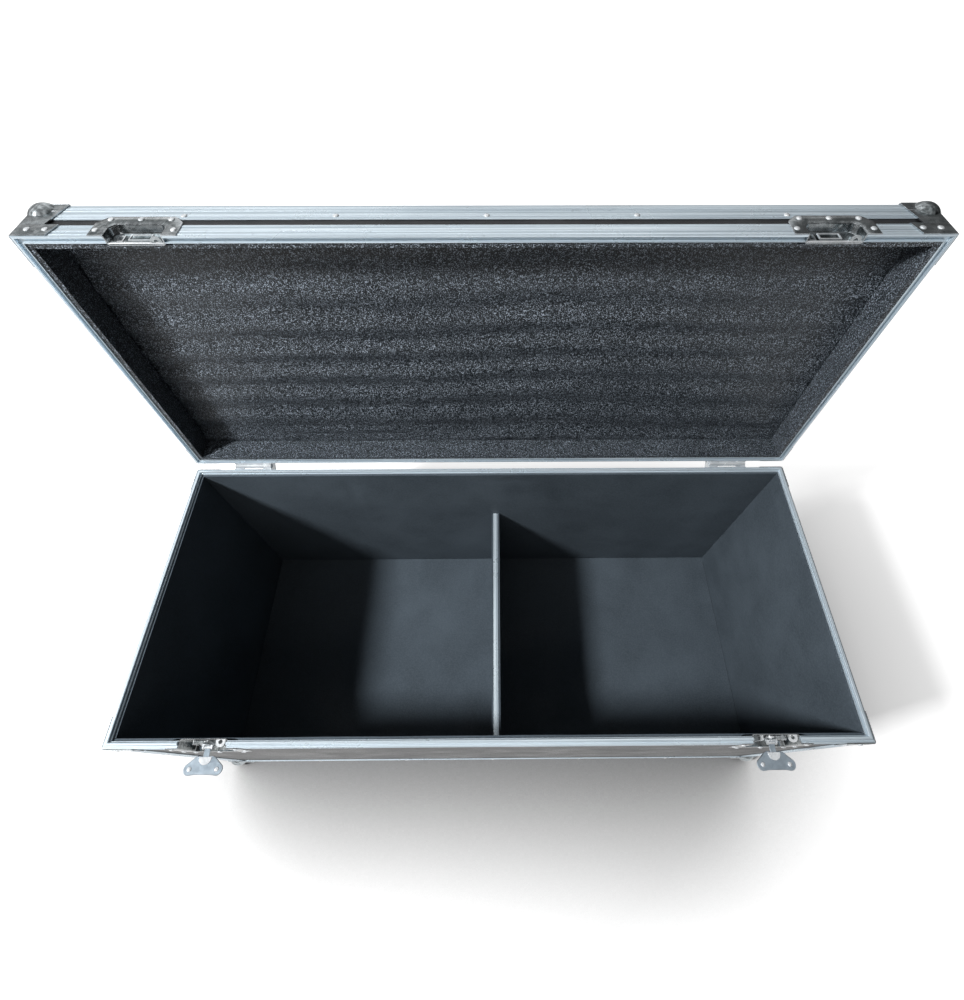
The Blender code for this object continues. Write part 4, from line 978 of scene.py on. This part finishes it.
def hung(place, path, radius, sides):
    """Tube of rings square to a flat path, which counts from the middle of a handle's pivot line."""
    forward = np.gradient(path, axis=0)
    forward /= np.linalg.norm(forward, axis=1, keepdims=True)
    flat = np.broadcast_to((0.0, 1.0, 0.0), path.shape)
    side = np.cross(forward, flat)
    cos, sin = (a[None, :, None] for a in circle(sides))
    radius = np.broadcast_to(radius, len(path))[:, None, None]
    rings = path[:, None] + radius * (cos * side[:, None] + sin * flat[:, None])
    return loft(place(rings[..., 0], ROD_INSET + rings[..., 1], HANDLE_PIVOT_Z + rings[..., 2]))


def handles():
    """Sprung bails with ribbed rubber grips."""
    leg, bend, turn, low, end = 0.050, 0.006, 0.012, -0.055, 0.0629
    half = [(end, 0.0)] + arc((leg + bend, -bend), bend, 90, 180, 8).tolist()
    half += arc((leg - turn, low + turn), turn, 0, -90, 10).tolist()
    rod = np.array([(a, 0, b) for a, b in half] + [(-a, 0, b) for a, b in reversed(half)])
    along = np.linspace(-0.035, 0.035, 113)
    radius = 0.0051 + 0.0004 * np.cos(2 * math.pi * along / 0.005)
    radius[[0, -1]] = 0.0044
    for name in ("left", "right"):
        place, body = wall(name), "handle_" + name
        make_piece("bail_rod_" + name, [hung(place, rod, 0.004, 18)], BRIGHT, body, ["handle_bail_" + name],
                   smooth=60)
        make_piece("grip_sleeve_" + name, [hung(place, straight(along, 0, low), radius, 24)], RUBBER, body,
                   ["handle_sleeve_" + name], smooth=60)


# Finishes of the solids that stay.


def dress_solids():
    """Give every solid its finish, by the words in its name."""
    for name, item in frame["nodes"].items():
        material = PLATED[0]
        if "board" in name:
            material = LAMINATE[0]
        if "pin" in name or "hinge" in name or "rotor" in name:
            material = BRIGHT[0]
        item.data.materials.clear()
        item.data.materials.append(material)


# Floor, lamps and camera.


def seen(tree, *kinds):
    """1 for rays of the named kinds, 0 for all others."""
    path, result = add(tree, "LightPath").outputs, 0.0
    for kind in kinds:
        result = maths(tree, "MAXIMUM", result, path["Is " + kind + " Ray"])
    return result


def stage():
    """Pale floor under the ball corners: white behind the case and away from it, painted shadow where hemmed
    in.
    """
    size, z = 14.0, BOTTOM_Z - (BALL_RADIUS - BALL_INSET)
    mesh = bpy.data.meshes.new("floor")
    mesh.from_pydata([(x, y, z) for x, y in rectangle(-size, size, -size, size)], [], [(0, 1, 2, 3)])
    material, tree, place = start_material("floor_white", 0.0, 0.9, 0.0)
    away = add(tree, "VectorMath", {0: place}, operation="LENGTH").outputs["Value"]
    behind = add(tree, "SeparateXYZ", {"Vector": place}).outputs["Y"]
    # Painted shadow: occlusion raised to a power darkens the floor's colour and its glow for the camera near
    # the case.
    clear = maths(tree, "POWER", add(tree, "AmbientOcclusion", {"Distance": 0.38}).outputs["AO"], 2.4)
    pale = maths(tree, "MAXIMUM", spread(tree, away, 0.6, 1.5, 0.15, 1.0),
                 spread(tree, behind, 0.1, 0.6, 0.0, 1.0))
    shown, reflected, paint = seen(tree, "Camera", "Transmission"), seen(tree, "Glossy"), 0.86
    shade = blend(tree, shown, paint, spread(tree, clear, 0.0, 1.0, 0.0, paint))
    glow = maths(tree, "MULTIPLY", maths(tree, "MULTIPLY", pale, clear), shown)
    link(tree, Base_Color=blend(tree, reflected, shade, 0.3), Emission_Color=(1, 1, 1, 1),
         Emission_Strength=blend(tree, reflected, glow, 0.5))
    mesh.materials.append(material)
    item = placed("floor", mesh)


def world():
    """Soft even sky, seen white; metal mirrors a room in it that is brightest at the lamp's side."""
    made = bpy.data.worlds.new("studio")
    made.use_nodes = True
    tree = made.node_tree
    direction = add(tree, "TexCoord").outputs["Generated"]

    def towards(axis):
        return add(tree, "VectorMath", {0: direction, 1: axis}, operation="DOT_PRODUCT").outputs["Value"]

    panels = spread(tree, noise(tree, direction, 2.6, 1.0), 0.40, 0.60, 0.35, 1.25)
    wide = spread(tree, towards((-0.62, 0.42, 0.66)), -0.2, 0.95, 0.06, 1.0)
    glint = spread(tree, towards((-0.64, -0.22, 0.74)), 0.965, 0.985, 0.0, 3.0)
    room = maths(tree, "ADD", maths(tree, "MULTIPLY", wide, panels), glint)
    strength = maths(tree, "MAXIMUM", blend(tree, seen(tree, "Glossy"), 0.05, room),
                     seen(tree, "Camera", "Transmission"))
    background = tree.nodes["Background"]
    tree.links.new(strength, background.inputs["Strength"])
    background.inputs["Color"].default_value = (1, 1, 1, 1)
    bpy.context.scene.world = made


def lamp(name, at, towards, size, power):
    """Square area lamp."""
    data = bpy.data.lights.new(name, "AREA")
    data.shape, data.size, data.energy = "SQUARE", size, power
    item = placed(name, data)
    item.location = at
    item.rotation_euler = (Vector(towards) - Vector(at)).to_track_quat("-Z", "Y").to_euler()
    return item


def camera():
    """Camera of the photograph: axes from its tilt, turn and roll, lens and shift from lengths in pixels."""
    down, turn, roll = math.radians(58.23), math.radians(0.70), math.radians(0.32)
    forward = np.array([math.sin(turn) * math.cos(down), math.cos(turn) * math.cos(down), -math.sin(down)])
    right = np.array([math.cos(turn), -math.sin(turn), 0.0])
    up = np.cross(right, forward)
    level_right = math.cos(roll) * right + math.sin(roll) * up
    level_up = math.cos(roll) * up - math.sin(roll) * right
    at = (0.0111, -0.3039, 1.4058)
    film, photo_wide, photo_high, focal, centre_x, centre_y = 36.0, 964, 1000, 523.7, 499.7, 461.6
    data = bpy.data.cameras.new("camera")
    data.sensor_width = film
    data.lens = film * focal / photo_high
    data.shift_x = (photo_wide / 2 - centre_x) / photo_high
    data.shift_y = (centre_y - photo_high / 2) / photo_high
    data.clip_start, data.clip_end = 0.02, 60.0
    item = placed("camera", data)
    item.matrix_world = Matrix([*zip(level_right, level_up, -forward, at), (0, 0, 0, 1)])
    bpy.context.scene.camera = item


camera()
stage()
world()
lamp("key", (-2.05, -0.74, 2.78), (0.1, 0.0, 0.3), 0.42, 172).visible_glossy = False
lamp("fill", (-0.3, -2.6, 2.9), (0.0, 0.2, 0.4), 2.4, 18)
bpy.context.scene.view_settings.view_transform = "Standard"

extrusions()
ball_corners("base", kept, BOTTOM_Z, 1, 0.040)
ball_corners("lid", opened, LID_TOP_Z, -1, 0.0462)
braces()
rivets()
linings()
divider_sheets()
lid_foam()
latch_dishes()
handle_dishes()
wings()
handles()
dress_solids()
